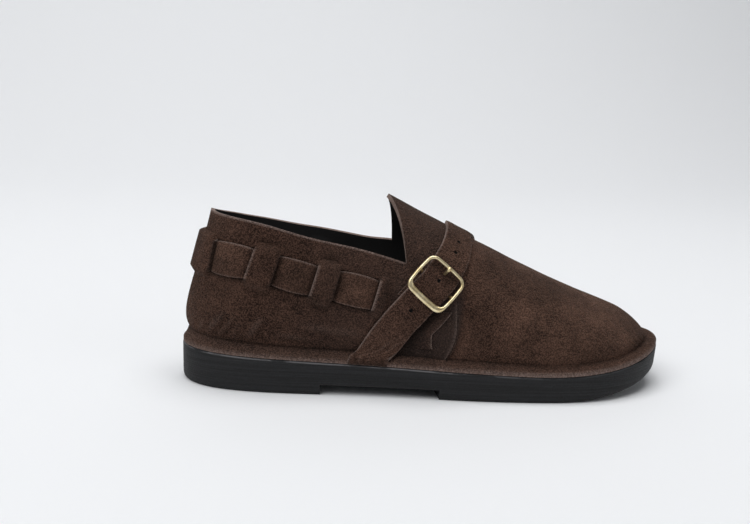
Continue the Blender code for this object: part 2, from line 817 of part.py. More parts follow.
def build_buckle_tab(route, finish):
    """Short tab under the strap, from the buckle's middle bar towards the sole."""
    lengths = np.linspace(TAB_START, TAB_END, TAB_ROWS)
    half = TAB_WIDTH / 2
    offsets = (TAB_OFFSET - half, TAB_OFFSET, TAB_OFFSET + half)
    points, faces = strip(route, lengths, offsets, lambda length: STRAP_GAP, TAB_THICKNESS)
    return mesh_object("buckle_tab", points, faces, finish)


# Buckle


def tube(path, radii, looped, sides=8):
    """Round rod along a path, closed on itself or capped at its ends."""
    path = np.asarray(path, float)
    count = len(path)
    points = []
    for number in range(count):
        after = path[(number + 1) % count] if looped else path[min(number + 1, count - 1)]
        before = path[number - 1] if looped else path[max(number - 1, 0)]
        along = (after - before) / np.linalg.norm(after - before)
        aside = np.cross(along, (0.0, 0.0, 1.0))
        aside /= np.linalg.norm(aside)
        up = np.cross(aside, along)
        for step in range(sides):
            turn = 2 * math.pi * step / sides
            points.append(path[number] + radii[number] * (math.cos(turn) * aside + math.sin(turn) * up))
    faces = []
    for number in range(count if looped else count - 1):
        after = (number + 1) % count
        for step in range(sides):
            other = (step + 1) % sides
            faces.append((number * sides + step, after * sides + step,
                          after * sides + other, number * sides + other))
    if not looped:
        faces.append(tuple(range(sides)))
        faces.append(tuple(reversed(range((count - 1) * sides, count * sides))))
    return np.array(points), faces


def buckle_height(along):
    """Height of the frame over the upper: it tilts down towards the top of the strap."""
    share = along / BUCKLE_ALONG + 0.5
    return BUCKLE_HEIGHT_LOW + (BUCKLE_HEIGHT_HIGH - BUCKLE_HEIGHT_LOW) * share


def buckle_places(route, points):
    """Points given along, across and over the upper at the buckle, in the shoe's frame."""
    _side, _angle, _lift, origin, along, across, normal = route.at(0.0)
    points = np.asarray(points)
    return origin + points[:, :1] * along + points[:, 1:2] * across + points[:, 2:] * normal


def frame_path(steps=6):
    """Rounded rectangle of the buckle's rod."""
    path = []
    for along, across, turn in ((1, 1, 0), (-1, 1, 1), (-1, -1, 2), (1, -1, 3)):
        for step in range(steps):
            angle = math.pi / 2 * (turn + step / (steps - 1))
            x = along * (BUCKLE_ALONG / 2 - BUCKLE_CORNER) + BUCKLE_CORNER * math.cos(angle)
            y = across * (BUCKLE_ACROSS / 2 - BUCKLE_CORNER) + BUCKLE_CORNER * math.sin(angle)
            path.append((x, y, buckle_height(x)))
    return path


def build_buckle(route, finish):
    """Frame of the buckle with its middle bar, and the prong."""
    path = frame_path()
    points, faces = tube(path, [BUCKLE_ROD / 2] * len(path), True)
    frame = mesh_object("buckle_frame", buckle_places(route, points), faces, finish)
    side = BUCKLE_ACROSS / 2
    inner = STRAP_WIDTH / 2 + SEAT_GAP
    middle = buckle_height(0.0)
    bar_path = [(0, -side, middle), (0, -inner, BAR_HEIGHT), (0, 0, BAR_HEIGHT),
                (0, inner, BAR_HEIGHT), (0, side, middle)]
    points, faces = tube(bar_path, [BAR_ROD / 2] * len(bar_path), False)
    bar = mesh_object("buckle_middle_bar", buckle_places(route, points), faces, finish)
    bar.hide_render = True
    bar.display_type = "WIRE"
    join = frame.modifiers.new("middle bar", "BOOLEAN")
    join.operation = "UNION"
    join.object = bar
    prong_path = [(row.along, 0, row.height) for row in PRONG_PATH]
    radii = [PRONG_ROD / 2] * (len(prong_path) - 1) + [PRONG_ROD / 3]
    points, faces = tube(prong_path, radii, False)
    mesh_object("buckle_prong", buckle_places(route, points), faces, finish)


def main():
    for piece in list(bpy.data.objects):
        bpy.data.objects.remove(piece, do_unlink=True)
    leather = material("brown_leather", (0.062, 0.038, 0.030), 0.8)
    dark_leather = material("dark_leather", (0.030, 0.022, 0.019), 0.85)
    rubber = material("black_rubber", (0.014, 0.014, 0.015), 0.6)
    brass = material("antique_brass", (0.62, 0.50, 0.30), 0.3, 1.0)
    build_outsole(rubber)
    build_insole(dark_leather)
    build_upper(leather)
    build_heel_strap(leather)
    route = Route()
    build_instep_strap(route, leather)
    build_buckle_tab(route, leather)
    build_buckle(route, brass)


if __name__ == "__main__":
    main()
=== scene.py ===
"""Flat shoe with a buckled instep strap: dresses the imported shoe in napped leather, rubber and brass.

The shoe is worked out in millimetres with the back of the heel at x = 0, the toe towards +X, the outer
side of the foot towards -Y and the floor at z = 0.  Objects are placed with the origin under the middle.
"""

from collections import namedtuple
import math

import bpy
from bpy.props import FloatProperty, FloatVectorProperty, PointerProperty
from mathutils import Matrix
import numpy as np


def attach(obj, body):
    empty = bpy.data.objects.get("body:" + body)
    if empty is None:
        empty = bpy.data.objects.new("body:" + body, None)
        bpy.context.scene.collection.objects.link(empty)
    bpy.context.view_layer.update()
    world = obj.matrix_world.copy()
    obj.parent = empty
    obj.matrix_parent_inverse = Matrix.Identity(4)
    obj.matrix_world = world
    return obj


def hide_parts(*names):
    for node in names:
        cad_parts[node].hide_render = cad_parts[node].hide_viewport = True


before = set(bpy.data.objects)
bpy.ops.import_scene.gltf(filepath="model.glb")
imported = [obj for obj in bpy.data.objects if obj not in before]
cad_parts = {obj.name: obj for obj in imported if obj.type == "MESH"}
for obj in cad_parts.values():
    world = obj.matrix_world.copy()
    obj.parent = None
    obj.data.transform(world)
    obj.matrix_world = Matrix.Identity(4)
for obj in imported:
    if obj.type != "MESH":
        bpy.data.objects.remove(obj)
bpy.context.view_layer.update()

bl_info = {
    "name": "Buckled flat shoe",
    "version": (1, 0, 0),
    "blender": (4, 5, 0),
    "location": "3D View > Sidebar > Shoe",
    "description": "Dresses the packed flat shoe in napped leather, rubber and brass",
    "category": "Object",
}

MM = 0.001
LATERAL = -1
MEDIAL = 1
SAME_PLACE = 1e-6

# Sole
SOLE_LENGTH = 266.0
HEEL_THICKNESS = 20.0
BALL_THICKNESS = 14.3
BALL_STATION = 185.0
SPRING_STATION = 190.0
TOP_SPRING = 9.2
FLOOR_SPRING = 11.0
HEEL_BREAST = 72.0
FOREFOOT_BREAST = 134.0
WAIST_CLEARANCE = 5.6
# The painted highlight along the sole's upper edge weakens towards the toe
HIGHLIGHT_TOE_LOSS = 0.75
HIGHLIGHT_TOE_SPAN = (120.0, 200.0)

# Leather and the gaps between pieces
WALL = 2.2
SEAT_GAP = 0.3
STRAP_GAP = 0.45
FLANGE_EDGE = 2.2
FLANGE_TRIM = 0.2
FLANGE_DIP = 0.36

# Upper
BULGE_HEIGHT = 12.0
HIGHEST_LIFT = 0.97
THROAT_STATION = 115.2
FLAP_ROWS = 24
FLAP_DROP = -10.0
LOWER_WALL = 30.0
LOWER_CROWDING = 0.35
RIM_ROW = 0.5
SADDLE_STATION = 140.8
SADDLE_EDGE = 0.3
SADDLE_STEP = 1.3
SADDLE_FADE = 13.5
SADDLE_TOP = 50.0
SADDLE_BLEND = 9.0
SADDLE_BOW = 4.4
SADDLE_BOW_TOP = 40.0
SADDLE_BOW_SPAN = 18.0
SADDLE_SPREAD = 16.0

# Flange: its ripple, and the saddle lapped over it
RIPPLE_HEIGHT = 0.22
RIPPLE_SIZES = (17.0, 8.5)
RIPPLE_SEED = 9
RIPPLE_END = 0.9
SADDLE_LAP = 0.7
SADDLE_LAP_LENGTH = 9.0

# Weave of the heel strap through the quarters, with tops and feet as drops below the collar
BAR_PROUD = 3.3
BAR_SWELL = 0.9
BAR_SWELL_SPAN = (20.0, 36.0)
BAR_CROWN = 0.8
BAR_CROWN_WIDTH = 4.5
BAR_SOFT_OUT = 2.6
BAR_SOFT_IN = 0.4
BAR_HEEL = (5.0, 14.0)
BAR_TOP = (9.4, 12.4)
BAR_TOP_AT_HEEL = (10.6, 12.8)
BAR_FOOT = (30.8, 34.4)
BAR_FOOT_AT_HEEL = (30.8, 33.6)
BAR_END = (1.4, 7.0)
WINDOW_SUNK = -1.3
BAND_DROP = 21.6
BAND_HALF = 8.3
SLIT_HALF = 8.9
BAND_SLANT = 0.28
SLANT_REACH = 10.0
SLANT_IN = (6.0, 24.0)
SLANT_OUT = (98.0, 113.2)
RIM_DROP = 10.3
LOWEST_DROP = 33.7

# Heel strap: it swells and widens in the windows, and is pinched under the bars
HEEL_STRAP_FACE = 0.8
HEEL_STRAP_THICKNESS = 1.8
HEEL_STRAP_END = 2.2
HEEL_STRAP_LANES = 15
HEEL_STRAP_CROWDING = 0.8
HEEL_STRAP_BOW = 0.05
HEEL_STRAP_PINCH = 0.06
HEEL_STRAP_SWELL = 1.2
HEEL_STRAP_SINK = 0.5
HEEL_STRAP_FULLNESS = 0.6
HEEL_STRAP_EDGE_FALL = 0.45
HEEL_STRAP_EDGE_POWER = 6
HEEL_STRAP_WAVE = 0.10
HEEL_STRAP_WAVES = (14.0, 7.0)
HEEL_STRAP_SEED = 21
HEEL_STRAP_BACK_SWELL = 0.6
HEEL_STRAP_WARM = 0.8
# Painted highlight along the strap's edges over this span, more on the top edge, and painted shade where it
# goes under the bars
HEEL_STRAP_EDGE = (0.88, 0.98)
HEEL_STRAP_TOP_HIGHLIGHT = 0.8
HEEL_STRAP_FOOT_HIGHLIGHT = 0.5
HEEL_STRAP_SHADE = 0.8

# Creases, crinkles, waves and folds of the wall
BAR_CREASE = 0.55
CREASE_HEEL = (16.0, 26.0)
CREASE_FRONT = 3.0
CRINKLE_HEIGHT = 0.3
CRINKLE_PITCH = 3.1
CRINKLE_LEAN = (0.8, 0.6)
CRINKLE_SWAY = 1.7
CRINKLE_SWAY_RATE = 0.45
CRINKLE_BAND = (6.0, 13.0, 30.0, 38.0)
CRINKLE_HEEL = (14.0, 24.0)
WAVE_HEIGHT = 0.16
WAVE_SIZES = (38.0, 23.0)
WAVE_SEED = 5
WAVE_FREE = (0.0, 8.0)
FOLD_STRENGTH = 1.1
FOLD_RIDGE = 0.75
FOLD_RIDGE_ASIDE = 1.8
FOLD_START = (-0.25, 0.3)
FOLD_END = (0.65, 1.2)
FOLD_FREE = (0.5, 3.0)
FOLD_CREST = 0.9

# Tones of the panels, warm above 0 and grey below, with the spans they fade over
VAMP_WARM = 0.35
VAMP_BLEND = 8.0
VAMP_LEAN = 0.12
VAMP_LEAN_HEIGHT = 50.0
# The toe's extra warmth is partly the leather's tone and partly painted sheen
TOE_WARM_AND_SHEEN = 0.5
TOE_SPAN = (150.0, 215.0)
SADDLE_GREY_LOSS = 0.5
SADDLE_GREY_TOP = (46.0, 66.0)
QUARTER_GREY = 0.4
QUARTER_GREY_SPAN = (30.0, 90.0)
QUARTER_BLEND = (104.0, 112.0)

# Rubbed leather and painted highlights, from 0 for none to 1, with the widths and heights they fade over
SADDLE_EDGE_HIGHLIGHT = 0.55
SADDLE_HIGHLIGHT_INSET = 0.6
SADDLE_HIGHLIGHT_WIDTH = (0.3, 1.3)
SADDLE_HIGHLIGHT_TOP = (46.0, 56.0)
WOVEN_BAND = (12.4, 13.4, 29.8, 30.8)
WINDOW_FRONT_HIGHLIGHT = 0.9
WINDOW_BACK_HIGHLIGHT = 0.08
WINDOW_HIGHLIGHT_WIDTH = (0.3, 1.2)
FOLD_HIGHLIGHT = 0.24
RIM_HIGHLIGHT_WIDTH = 0.8
FLANGE_RUB = 0.13
FLANGE_RUB_LOSS = 0.10
FLANGE_LOSS_SPAN = (120.0, 200.0)
FLANGE_EDGE_RUB = 0.24
FLANGE_TOE_RUB = 0.40
FLANGE_TOE_SPAN = (120.0, 210.0)
FLANGE_RUB_POWER = 9
FLANGE_FOOT_RUB_AND_HIGHLIGHT = 0.6

# Shade in creases and under edges, in the same way
CREASE_SHADE = 0.6
CREASE_SHADE_WIDTH = (0.2, 1.3)
CREASE_TOE_LOSS = 0.6
CREASE_TOE_SPAN = (150.0, 230.0)
FLANGE_SHADE = 0.4
FLANGE_SHADE_END = 0.4
WINDOW_FOOT_SHADE = 0.8
WINDOW_FOOT_BAND = (-0.6, 0.0, 0.5, 2.0)
WINDOW_BACK_SHADE = 0.7
WINDOW_BACK_WIDTH = 0.7
SADDLE_SHADE = 0.25
SADDLE_SHADE_TOP = (44.0, 58.0)
SADDLE_EDGE_SHADE = 0.6
SADDLE_EDGE_BAND = (-0.1, 0.3, 0.6, 2.4)
SADDLE_EDGE_TOP = (44.0, 54.0)
STRAP_SHADE = 0.85
STRAP_SHADE_BAND = (100.0, 106.0, 112.0, 128.0)
STRAP_SHADE_TOP = (27.0, 31.0)
FOLD_SHADE = 0.12
BAR_CREASE_SHADE = 0.45

# Front of the outer quarter: its back edge lies under the strap, its front edge is in a table below
QUARTER_FRONT_FOOT = 27.0
QUARTER_FRONT_BACK = 104.0
QUARTER_FRONT_BACK_HEIGHT = 24.0
QUARTER_FRONT_LEAN = 0.86
QUARTER_FRONT_ROWS = 26
QUARTER_FRONT_LANES = 16
QUARTER_FRONT_THICKNESS = 0.9
QUARTER_FRONT_SEAT = 0.25
QUARTER_FRONT_LIFT = 0.75
QUARTER_FRONT_LIFT_SPAN = (0.2, 0.7)
# Greyer tone, partly the leather's grey and partly painted shade under the strap; painted highlight on the
# front edge, painted shade towards the strap
QUARTER_FRONT_GREY_AND_SHADE = -0.6
QUARTER_FRONT_HIGHLIGHT = 0.7
QUARTER_FRONT_SHADE = (0.4, 1.0)

# Instep strap, buckle and tab
STRAP_WIDTH = 18.0
STRAP_THICKNESS = 2.0
STRAP_SKEW = 1.14
STRAP_TAPER = 0.17
TAPER_SPAN = (8.0, 40.0)
SKEW_START = -20.0
SKEW_END = -36.0
INNER_SQUARE = 30.0
INNER_SKEW = 14.0
TAB_HUMP_IN = (-26.0, -20.0)
TAB_HUMP_OUT = (-4.0, 6.0)
BAR_HUMP_IN = (-7.0, -2.0)
BAR_HUMP_OUT = (3.0, 10.0)
STRAP_ROWS = 130
STRAP_LANES = 27
STRAP_EDGE_FALL = 0.18
STRAP_EDGE_POWER = 8
STRAP_WAVE = 0.06
STRAP_WAVES = (19.0, 9.0)
STRAP_SEED = 31
STRAP_WARM = 0.3
STRAP_EDGE = (0.91, 0.99)
# Painted highlight along the strap's rear edge, less on its front edge, and on its wrinkle crests; painted
# shade in the troughs and at the sewn foot
STRAP_REAR_HIGHLIGHT = 0.95
STRAP_FRONT_HIGHLIGHT = 0.30
STRAP_WRINKLE_HIGHLIGHT = 0.9
STRAP_WRINKLE_SHADE = 2.0
STRAP_SEWN_SHADE = 0.8
STRAP_SEWN_LENGTH = 0.9
WRINKLE_HEIGHT = 0.25
WRINKLE_PITCH = 3.8
WRINKLE_LEAN = (0.39, 0.92)
WRINKLE_END = (-44.0, -26.0)
WRINKLE_SWAY = 0.9
WRINKLE_SWAY_RATE = 0.5
WRINKLE_PATCHES = 0.4
WRINKLE_PATCH_RATES = (0.23, 0.4)
FOOT_TURN = (0.9, -1.7)
FOOT_FACE = 1.0
BUCKLE_TURN = 0.28
BUCKLE_ALONG = 20.6
BUCKLE_ACROSS = 22.6
BUCKLE_CORNER = 4.2
BUCKLE_BOW = 0.25
BUCKLE_ROD = 2.6
BUCKLE_HEIGHT_LOW = 5.2
BUCKLE_HEIGHT_HIGH = 4.1
BUCKLE_LOW_END = (-10.0, -6.5)
ROD_WIDTH = (0.72, 1.30)
ROD_HEIGHT = (0.86, 0.80)
BAR_ROD = 1.8
BAR_HEIGHT = 1.4
BAR_BEND_IN = 0.6
BAR_BEND_OUT = 0.4
BAR_BEND_RISE = 1.0
PRONG_ROD = 1.7
PRONG_NUB = 0.3
PRONG_SEAT = 0.1
PRONG_STEPS = 24
PRONG_REST = (8.8, 9.9)
PRONG_END = 10.9
PRONG_DROP = 0.5
PRONG_NUB_SPAN = (0.5, 0.75)
PRONG_TIP = 0.8
PRONG_TIP_CLOSING = 0.9
TAB_THICKNESS = 1.2
TAB_START = -17.0
TAB_END = -2.2
TAB_WIDTH = 18.0
TAB_OFFSET = 1.4
TAB_ROWS = 18
TAB_LANES = 9
TAB_GREY = -0.2
TAB_RUB = 0.1

# Stitches: heights of their rows, insets from the sewn edges, share of the pitch, and form in radii
SADDLE_STITCHES = (26.0, 50.0)
SADDLE_STITCH_INSET = 3.6
QUARTER_STITCHES = (25.0, 33.5)
QUARTER_STITCH_INSET = 1.6
STITCH_SHARE = 0.66
STITCH_RISE = 0.9
STITCH_SINK = 1.2
STITCH_TAPER = 0.75
STITCH_TAPER_POWER = 4
STITCH_RINGS = 7
STITCH_SIDES = 8

# Counts of the steps in searches and curves
HALVINGS = 34
SEARCH_STEPS = 8
SEARCH_LIFT = 0.3
PLAN_STEPS = 400
ROUND_STEPS = 4000
ROUTE_STEPS = 300
ROUTE_FLANGE_STEPS = 30
ROUTE_REACH = 2

Section = namedtuple(
    "Section",
    "station lateral medial flange crease spine_x spine_y side_power top_power bulge",
)
SECTIONS = (
    Section(0.0, 0.0, 0.0, 3.2, 8.5, 27.0, 0.0, 1.2, 1.0, 3.0),
    Section(12.0, 20.6, 20.4, 4.0, 7.4, 33.0, 0.0, 1.7, 1.4, 2.8),
    Section(45.0, 31.0, 32.0, 5.0, 6.2, 50.0, 0.5, 3.0, 2.0, 2.4),
    Section(90.0, 35.4, 32.2, 5.4, 5.8, 84.0, 2.0, 3.0, 2.0, 2.0),
    Section(120.0, 39.3, 32.4, 5.5, 5.6, 113.2, 3.0, 3.0, 2.0, 1.6),
    Section(150.0, 43.6, 37.2, 5.5, 5.4, 145.0, 4.0, 2.8, 2.0, 1.3),
    Section(185.0, 46.2, 45.0, 5.5, 5.2, 182.0, 4.0, 2.5, 2.0, 1.2),
    Section(215.0, 44.8, 46.0, 5.6, 5.0, 208.0, 3.4, 2.3, 2.0, 1.2),
    Section(240.0, 35.8, 40.0, 6.2, 4.4, 226.0, 2.8, 2.1, 2.0, 1.0),
    Section(258.0, 19.6, 27.0, 6.8, 3.8, 236.0, 2.3, 2.0, 2.0, 0.8),
    Section(266.0, -2.2, 2.2, 7.0, 3.6, 238.0, 2.2, 2.0, 2.0, 0.8),
)

Ridge = namedtuple("Ridge", "x height")
RIDGE = (
    Ridge(0.0, 156.8),
    Ridge(109.0, 101.6),
    Ridge(144.5, 83.7),
    Ridge(171.3, 70.9),
    Ridge(207.2, 54.9),
    Ridge(240.3, 42.0),
    Ridge(266.0, 32.5),
)

Collar = namedtuple("Collar", "station height")
COLLAR = (
    Collar(0.0, 91.8),
    Collar(12.0, 91.3),
    Collar(45.0, 86.9),
    Collar(66.0, 81.9),
    Collar(90.0, 77.3),
    Collar(120.0, 69.2),
)

# Rise of the collar on the inner side over the outer one
Rim = namedtuple("Rim", "station rise")
INNER_RIM = (
    Rim(0.0, 0.0),
    Rim(12.0, -2.6),
    Rim(25.0, -4.2),
    Rim(45.0, -3.9),
    Rim(70.0, -1.8),
    Rim(95.0, -0.6),
    Rim(115.2, 2.6),
)

Window = namedtuple("Window", "back front")
WINDOWS = (
    Window(12.4, 33.2),
    Window(46.9, 66.6),
    Window(78.4, 98.6),
)
WINDOW_ENDS = [end for window in WINDOWS for end in window]

StrapPoint = namedtuple("StrapPoint", "station turn")
STRAP_OUTER_END = StrapPoint(95.8, -0.99)
STRAP_INNER_END = StrapPoint(158.0, 2.85)
STRAP_ROUTE = (
    StrapPoint(100.7, 0.0),
    StrapPoint(108.6, 0.053),
    StrapPoint(118.6, 0.144),
    StrapPoint(129.6, 0.28),
    StrapPoint(137.6, 0.43),
    StrapPoint(144.8, 0.64),
    StrapPoint(151.8, 1.0),
    StrapPoint(155.6, 1.4),
    StrapPoint(157.4, 1.7),
    StrapPoint(158.2, 1.9),
    StrapPoint(158.4, 2.0),
)

# Holes of the instep strap, by length along it from the buckle
STRAP_HOLES = (-18.4, 1.8, 20.0, 28.0)

# Prong from the middle bar up to the top of the frame, by place along the strap and height over the upper
ProngPoint = namedtuple("ProngPoint", "along height")
PRONG_RISE = (
    ProngPoint(5.6, 1.6),
    ProngPoint(6.6, 2.9),
    ProngPoint(7.7, 4.5),
)

# Front edge of the quarter where it laps the saddle, by height over the floor
QuarterEdge = namedtuple("QuarterEdge", "height station")
QUARTER_EDGE = (
    QuarterEdge(18.0, 129.4),
    QuarterEdge(24.0, 129.6),
    QuarterEdge(29.0, 128.2),
    QuarterEdge(34.5, 127.9),
    QuarterEdge(40.0, 133.0),
    QuarterEdge(46.5, 138.2),
)

# Rings of the sole's side from its top to its tread: inset, and rise over the top, middle or floor
SoleRing = namedtuple("SoleRing", "inset level rise")
SOLE_RINGS = (
    SoleRing(0.55, "top", 0.0),
    SoleRing(0.12, "top", -0.45),
    SoleRing(0.0, "top", -1.1),
    SoleRing(0.1, "middle", 0.0),
    SoleRing(0.25, "floor", WAIST_CLEARANCE),
    SoleRing(0.4, "floor", 2.6),
    SoleRing(0.75, "floor", 1.2),
    SoleRing(1.3, "floor", 0.35),
    SoleRing(2.0, "floor", 0.0),
)
# Ring of the sole's side that takes the painted highlight along its upper edge
HIGHLIGHT_RING = 1
WAIST_RING = 4

# Creases over and under the bars, by drop below the collar
Crease = namedtuple("Crease", "drop width share")
BAR_CREASES = (
    Crease(8.6, 1.3, 1.0),
    Crease(35.4, 1.5, 0.7),
)

# Rows of the flange from the crease to its edge, and how far its edge is rounded down
FlangeRow = namedtuple("FlangeRow", "share rounding")
FLANGE_ROWS = (
    FlangeRow(0.1, 0.0),
    FlangeRow(0.25, 0.0),
    FlangeRow(0.42, 0.0),
    FlangeRow(0.6, 0.0),
    FlangeRow(0.76, 0.0),
    FlangeRow(0.89, 0.0),
    FlangeRow(0.97, 0.08),
    FlangeRow(1.0, 0.35),
)

# Folds of the outer side: ends of each in side view, how deep and how wide it is
Fold = namedtuple("Fold", "x z end_x end_z depth width")
FOLDS = (
    Fold(16.0, 29.0, 24.0, 39.0, 0.9, 1.6),
    Fold(21.5, 28.0, 29.0, 38.0, 0.7, 1.5),
    Fold(11.0, 29.0, 14.0, 35.0, 0.6, 1.3),
    Fold(7.0, 30.0, 8.5, 36.0, 0.5, 1.2),
    Fold(38.5, 28.5, 44.5, 38.0, 0.8, 2.0),
    Fold(30.0, 30.0, 33.0, 37.0, 0.5, 1.8),
    Fold(50.0, 28.0, 72.0, 26.5, 0.5, 1.6),
    Fold(62.0, 32.0, 92.0, 28.0, 0.5, 2.4),
)


# The last, its sole and its skin


def spline(knots, values):
    """Natural cubic curve through the rows of a table, as a function of the knot coordinate."""
    knots = np.asarray(knots, float)
    values = np.asarray(values, float)
    gaps = np.diff(knots)
    count = len(knots)
    matrix = np.eye(count)
    bends = np.zeros(count)
    for row in range(1, count - 1):
        before, after = gaps[row - 1], gaps[row]
        matrix[row, row - 1:row + 2] = before, 2 * (before + after), after
        bends[row] = 6 * ((values[row + 1] - values[row]) / after - (values[row] - values[row - 1]) / before)
    curvature = np.linalg.solve(matrix, bends)

    def value(place):
        place = np.clip(np.asarray(place, float), knots[0], knots[-1])
        cell = np.clip(np.searchsorted(knots, place) - 1, 0, count - 2)
        gap = gaps[cell]
        right = (place - knots[cell]) / gap
        left = 1 - right
        line = left * values[cell] + right * values[cell + 1]
        bend = (left ** 3 - left) * curvature[cell] + (right ** 3 - right) * curvature[cell + 1]
        return line + bend * gap ** 2 / 6

    return value


def angle_of(station):
    """Angle of a station: stations crowd at the heel and the toe, where the outline turns."""
    return np.arccos(np.clip(1 - 2 * np.asarray(station, float) / SOLE_LENGTH, -1, 1))


def edge_x(angle):
    return SOLE_LENGTH * (1 - np.cos(angle)) / 2


SECTION_ANGLES = angle_of([row.station for row in SECTIONS])
SHAPE = {
    name: spline(SECTION_ANGLES, [getattr(row, name) for row in SECTIONS])
    for name in Section._fields[1:]
}
ridge_height = spline([row.x for row in RIDGE], [row.height for row in RIDGE])
collar_height = spline(angle_of([row.station for row in COLLAR]), [row.height for row in COLLAR])
inner_rim = spline([row.station for row in INNER_RIM], [row.rise for row in INNER_RIM])


def smooth(low, high, value):
    """Soft step from 0 at low to 1 at high."""
    share = np.clip((np.asarray(value, float) - low) / (high - low), 0, 1)
    return share * share * (3 - 2 * share)


def fading(value, full, end):
    """1 up to full, falling softly to 0 at end."""
    return 1 - smooth(full, end, value)


def band(value, start, full, fade, end):
    """1 between full and fade, falling softly to 0 at start and end."""
    return smooth(start, full, value) * fading(value, fade, end)


def sole_top(x):
    """Height of the outsole's upper face."""
    share = np.clip(np.asarray(x, float) / BALL_STATION, 0, 1)
    spring = np.clip((x - SPRING_STATION) / (SOLE_LENGTH - SPRING_STATION), 0, None) ** 2
    return HEEL_THICKNESS + (BALL_THICKNESS - HEEL_THICKNESS) * share + TOP_SPRING * spring


def sole_floor(x):
    """Height of the outsole's tread: flat on the floor, then the toe spring."""
    return FLOOR_SPRING * np.clip((x - SPRING_STATION) / (SOLE_LENGTH - SPRING_STATION), 0, None) ** 2


def half_width(side, angle):
    return SHAPE["medial" if side == MEDIAL else "lateral"](angle)


def outline(side, angle, inset):
    """Plan point on the sole's edge, moved in by inset."""
    step = 1e-4
    low = np.clip(angle - step, 0, math.pi)
    high = np.clip(angle + step, 0, math.pi)
    along = edge_x(high) - edge_x(low)
    across = half_width(side, high) - half_width(side, low)
    size = np.hypot(along, across)
    x = edge_x(angle) + inset * across / size
    y = half_width(side, angle) - inset * along / size
    return x, side * y


def wall(side, angle, lift):
    """Point on the outside of the last-shaped wall; lift is 0 at the crease and 1 on the ridge."""
    phi = np.asarray(lift, float) * math.pi / 2
    rise = np.sin(phi) ** (2 / SHAPE["side_power"](angle))
    reach = np.abs(np.cos(phi)) ** (2 / SHAPE["top_power"](angle))
    foot_x, foot_y = outline(side, angle, SHAPE["flange"](angle))
    spine_x = SHAPE["spine_x"](angle)
    spine_y = SHAPE["spine_y"](angle)
    x = spine_x + (foot_x - spine_x) * reach
    y = spine_y + (foot_y - spine_y) * reach
    base = sole_top(foot_x) + SHAPE["crease"](angle)
    height = (ridge_height(x) - base) * rise
    swell = SHAPE["bulge"](angle) * height / BULGE_HEIGHT * np.exp(1 - height / BULGE_HEIGHT)
    run = np.hypot(foot_x - spine_x, foot_y - spine_y)
    x = x + swell * (foot_x - spine_x) / run
    y = y + swell * (foot_y - spine_y) / run
    return np.stack(np.broadcast_arrays(x, y, base + height), -1)


def flange(side, angle, share):
    """Point on top of the flange; share is 0 at the crease and 1 at the trimmed edge."""
    width = SHAPE["flange"](angle)
    x, y = outline(side, angle, width + (FLANGE_TRIM - width) * share)
    crease = SHAPE["crease"](angle)
    drop = share + FLANGE_DIP * np.sin(math.pi * share) / 2
    z = sole_top(x) + crease + (SEAT_GAP + FLANGE_EDGE - crease) * drop
    return np.stack(np.broadcast_arrays(x, y, z), -1)


def skin(side, angle, lift):
    """Point on the outside of the upper: the wall, or the flange where lift is below 0."""
    if lift < 0:
        return flange(side, angle, -lift)
    return wall(side, angle, lift)


def skin_frame(side, angle, lift, surface=wall):
    """Two tangents and the outward normal of the upper's outside."""
    step = 1e-4
    low, high = (0.0, 1.0) if surface is wall else (-1.0, 1.0)
    ahead = np.clip(angle + step, 0, math.pi)
    behind = np.clip(angle - step, 0, math.pi)
    above = np.clip(lift + step, low, high)
    below = np.clip(lift - step, low, high)
    along = (surface(side, ahead, lift) - surface(side, behind, lift)) / (ahead - behind)[..., None]
    up = (surface(side, angle, above) - surface(side, angle, below)) / (above - below)[..., None]
    normal = -side * np.cross(along, up)
    normal /= np.linalg.norm(normal, axis=-1, keepdims=True)
    return along, up, normal


def lift_at(side, angle, height):
    """Lift at which the wall reaches a height."""
    low = np.zeros(np.broadcast(angle, height).shape)
    high = low + HIGHEST_LIFT
    for _ in range(HALVINGS):
        middle = (low + high) / 2
        under = wall(side, angle, middle)[..., 2] < height
        low = np.where(under, middle, low)
        high = np.where(under, high, middle)
    return (low + high) / 2


def saddle_bow(height):
    """How far back the saddle's front edge curves as it comes down to the sole."""
    return SADDLE_BOW * np.clip((SADDLE_BOW_TOP - height) / SADDLE_BOW_SPAN, 0, 1) ** 2


def slant(station, drop):
    """Shift of a column along the shoe, which leans the window sides square to the band."""
    share = band(station, *SLANT_IN, *SLANT_OUT)
    return BAND_SLANT * np.clip(BAND_DROP - drop, -SLANT_REACH, SLANT_REACH) * share


def rim_rise(side, station):
    """How far the inner quarter's rim stands above the outer one."""
    return np.zeros_like(station) if side == LATERAL else inner_rim(station)


def quarter_place(side, station, drop, share):
    """Angle and lift of places in the quarter: a drop below the collar, then a share of the rest."""
    values = [np.asarray(value, float) for value in (station, drop, share)]
    station, drop, share = np.broadcast_arrays(*values)
    angle = angle_of(station + slant(station, drop))
    height = collar_height(angle) - drop
    height = height + rim_rise(side, station) * np.clip(1 - drop / RIM_DROP, 0, 1)
    base = wall(side, angle, 0.0)[..., 2]
    height = height + (base - height) * share
    return angle, np.where(share < 1, lift_at(side, angle, height), 0.0)


def plan_middle():
    """Middle of the sole's width, which the objects are centred on."""
    angles = np.linspace(0, math.pi, PLAN_STEPS)
    return (half_width(MEDIAL, angles).max() - half_width(LATERAL, angles).max()) / 2


ORIGIN = np.array((SOLE_LENGTH / 2, plan_middle(), 0.0))


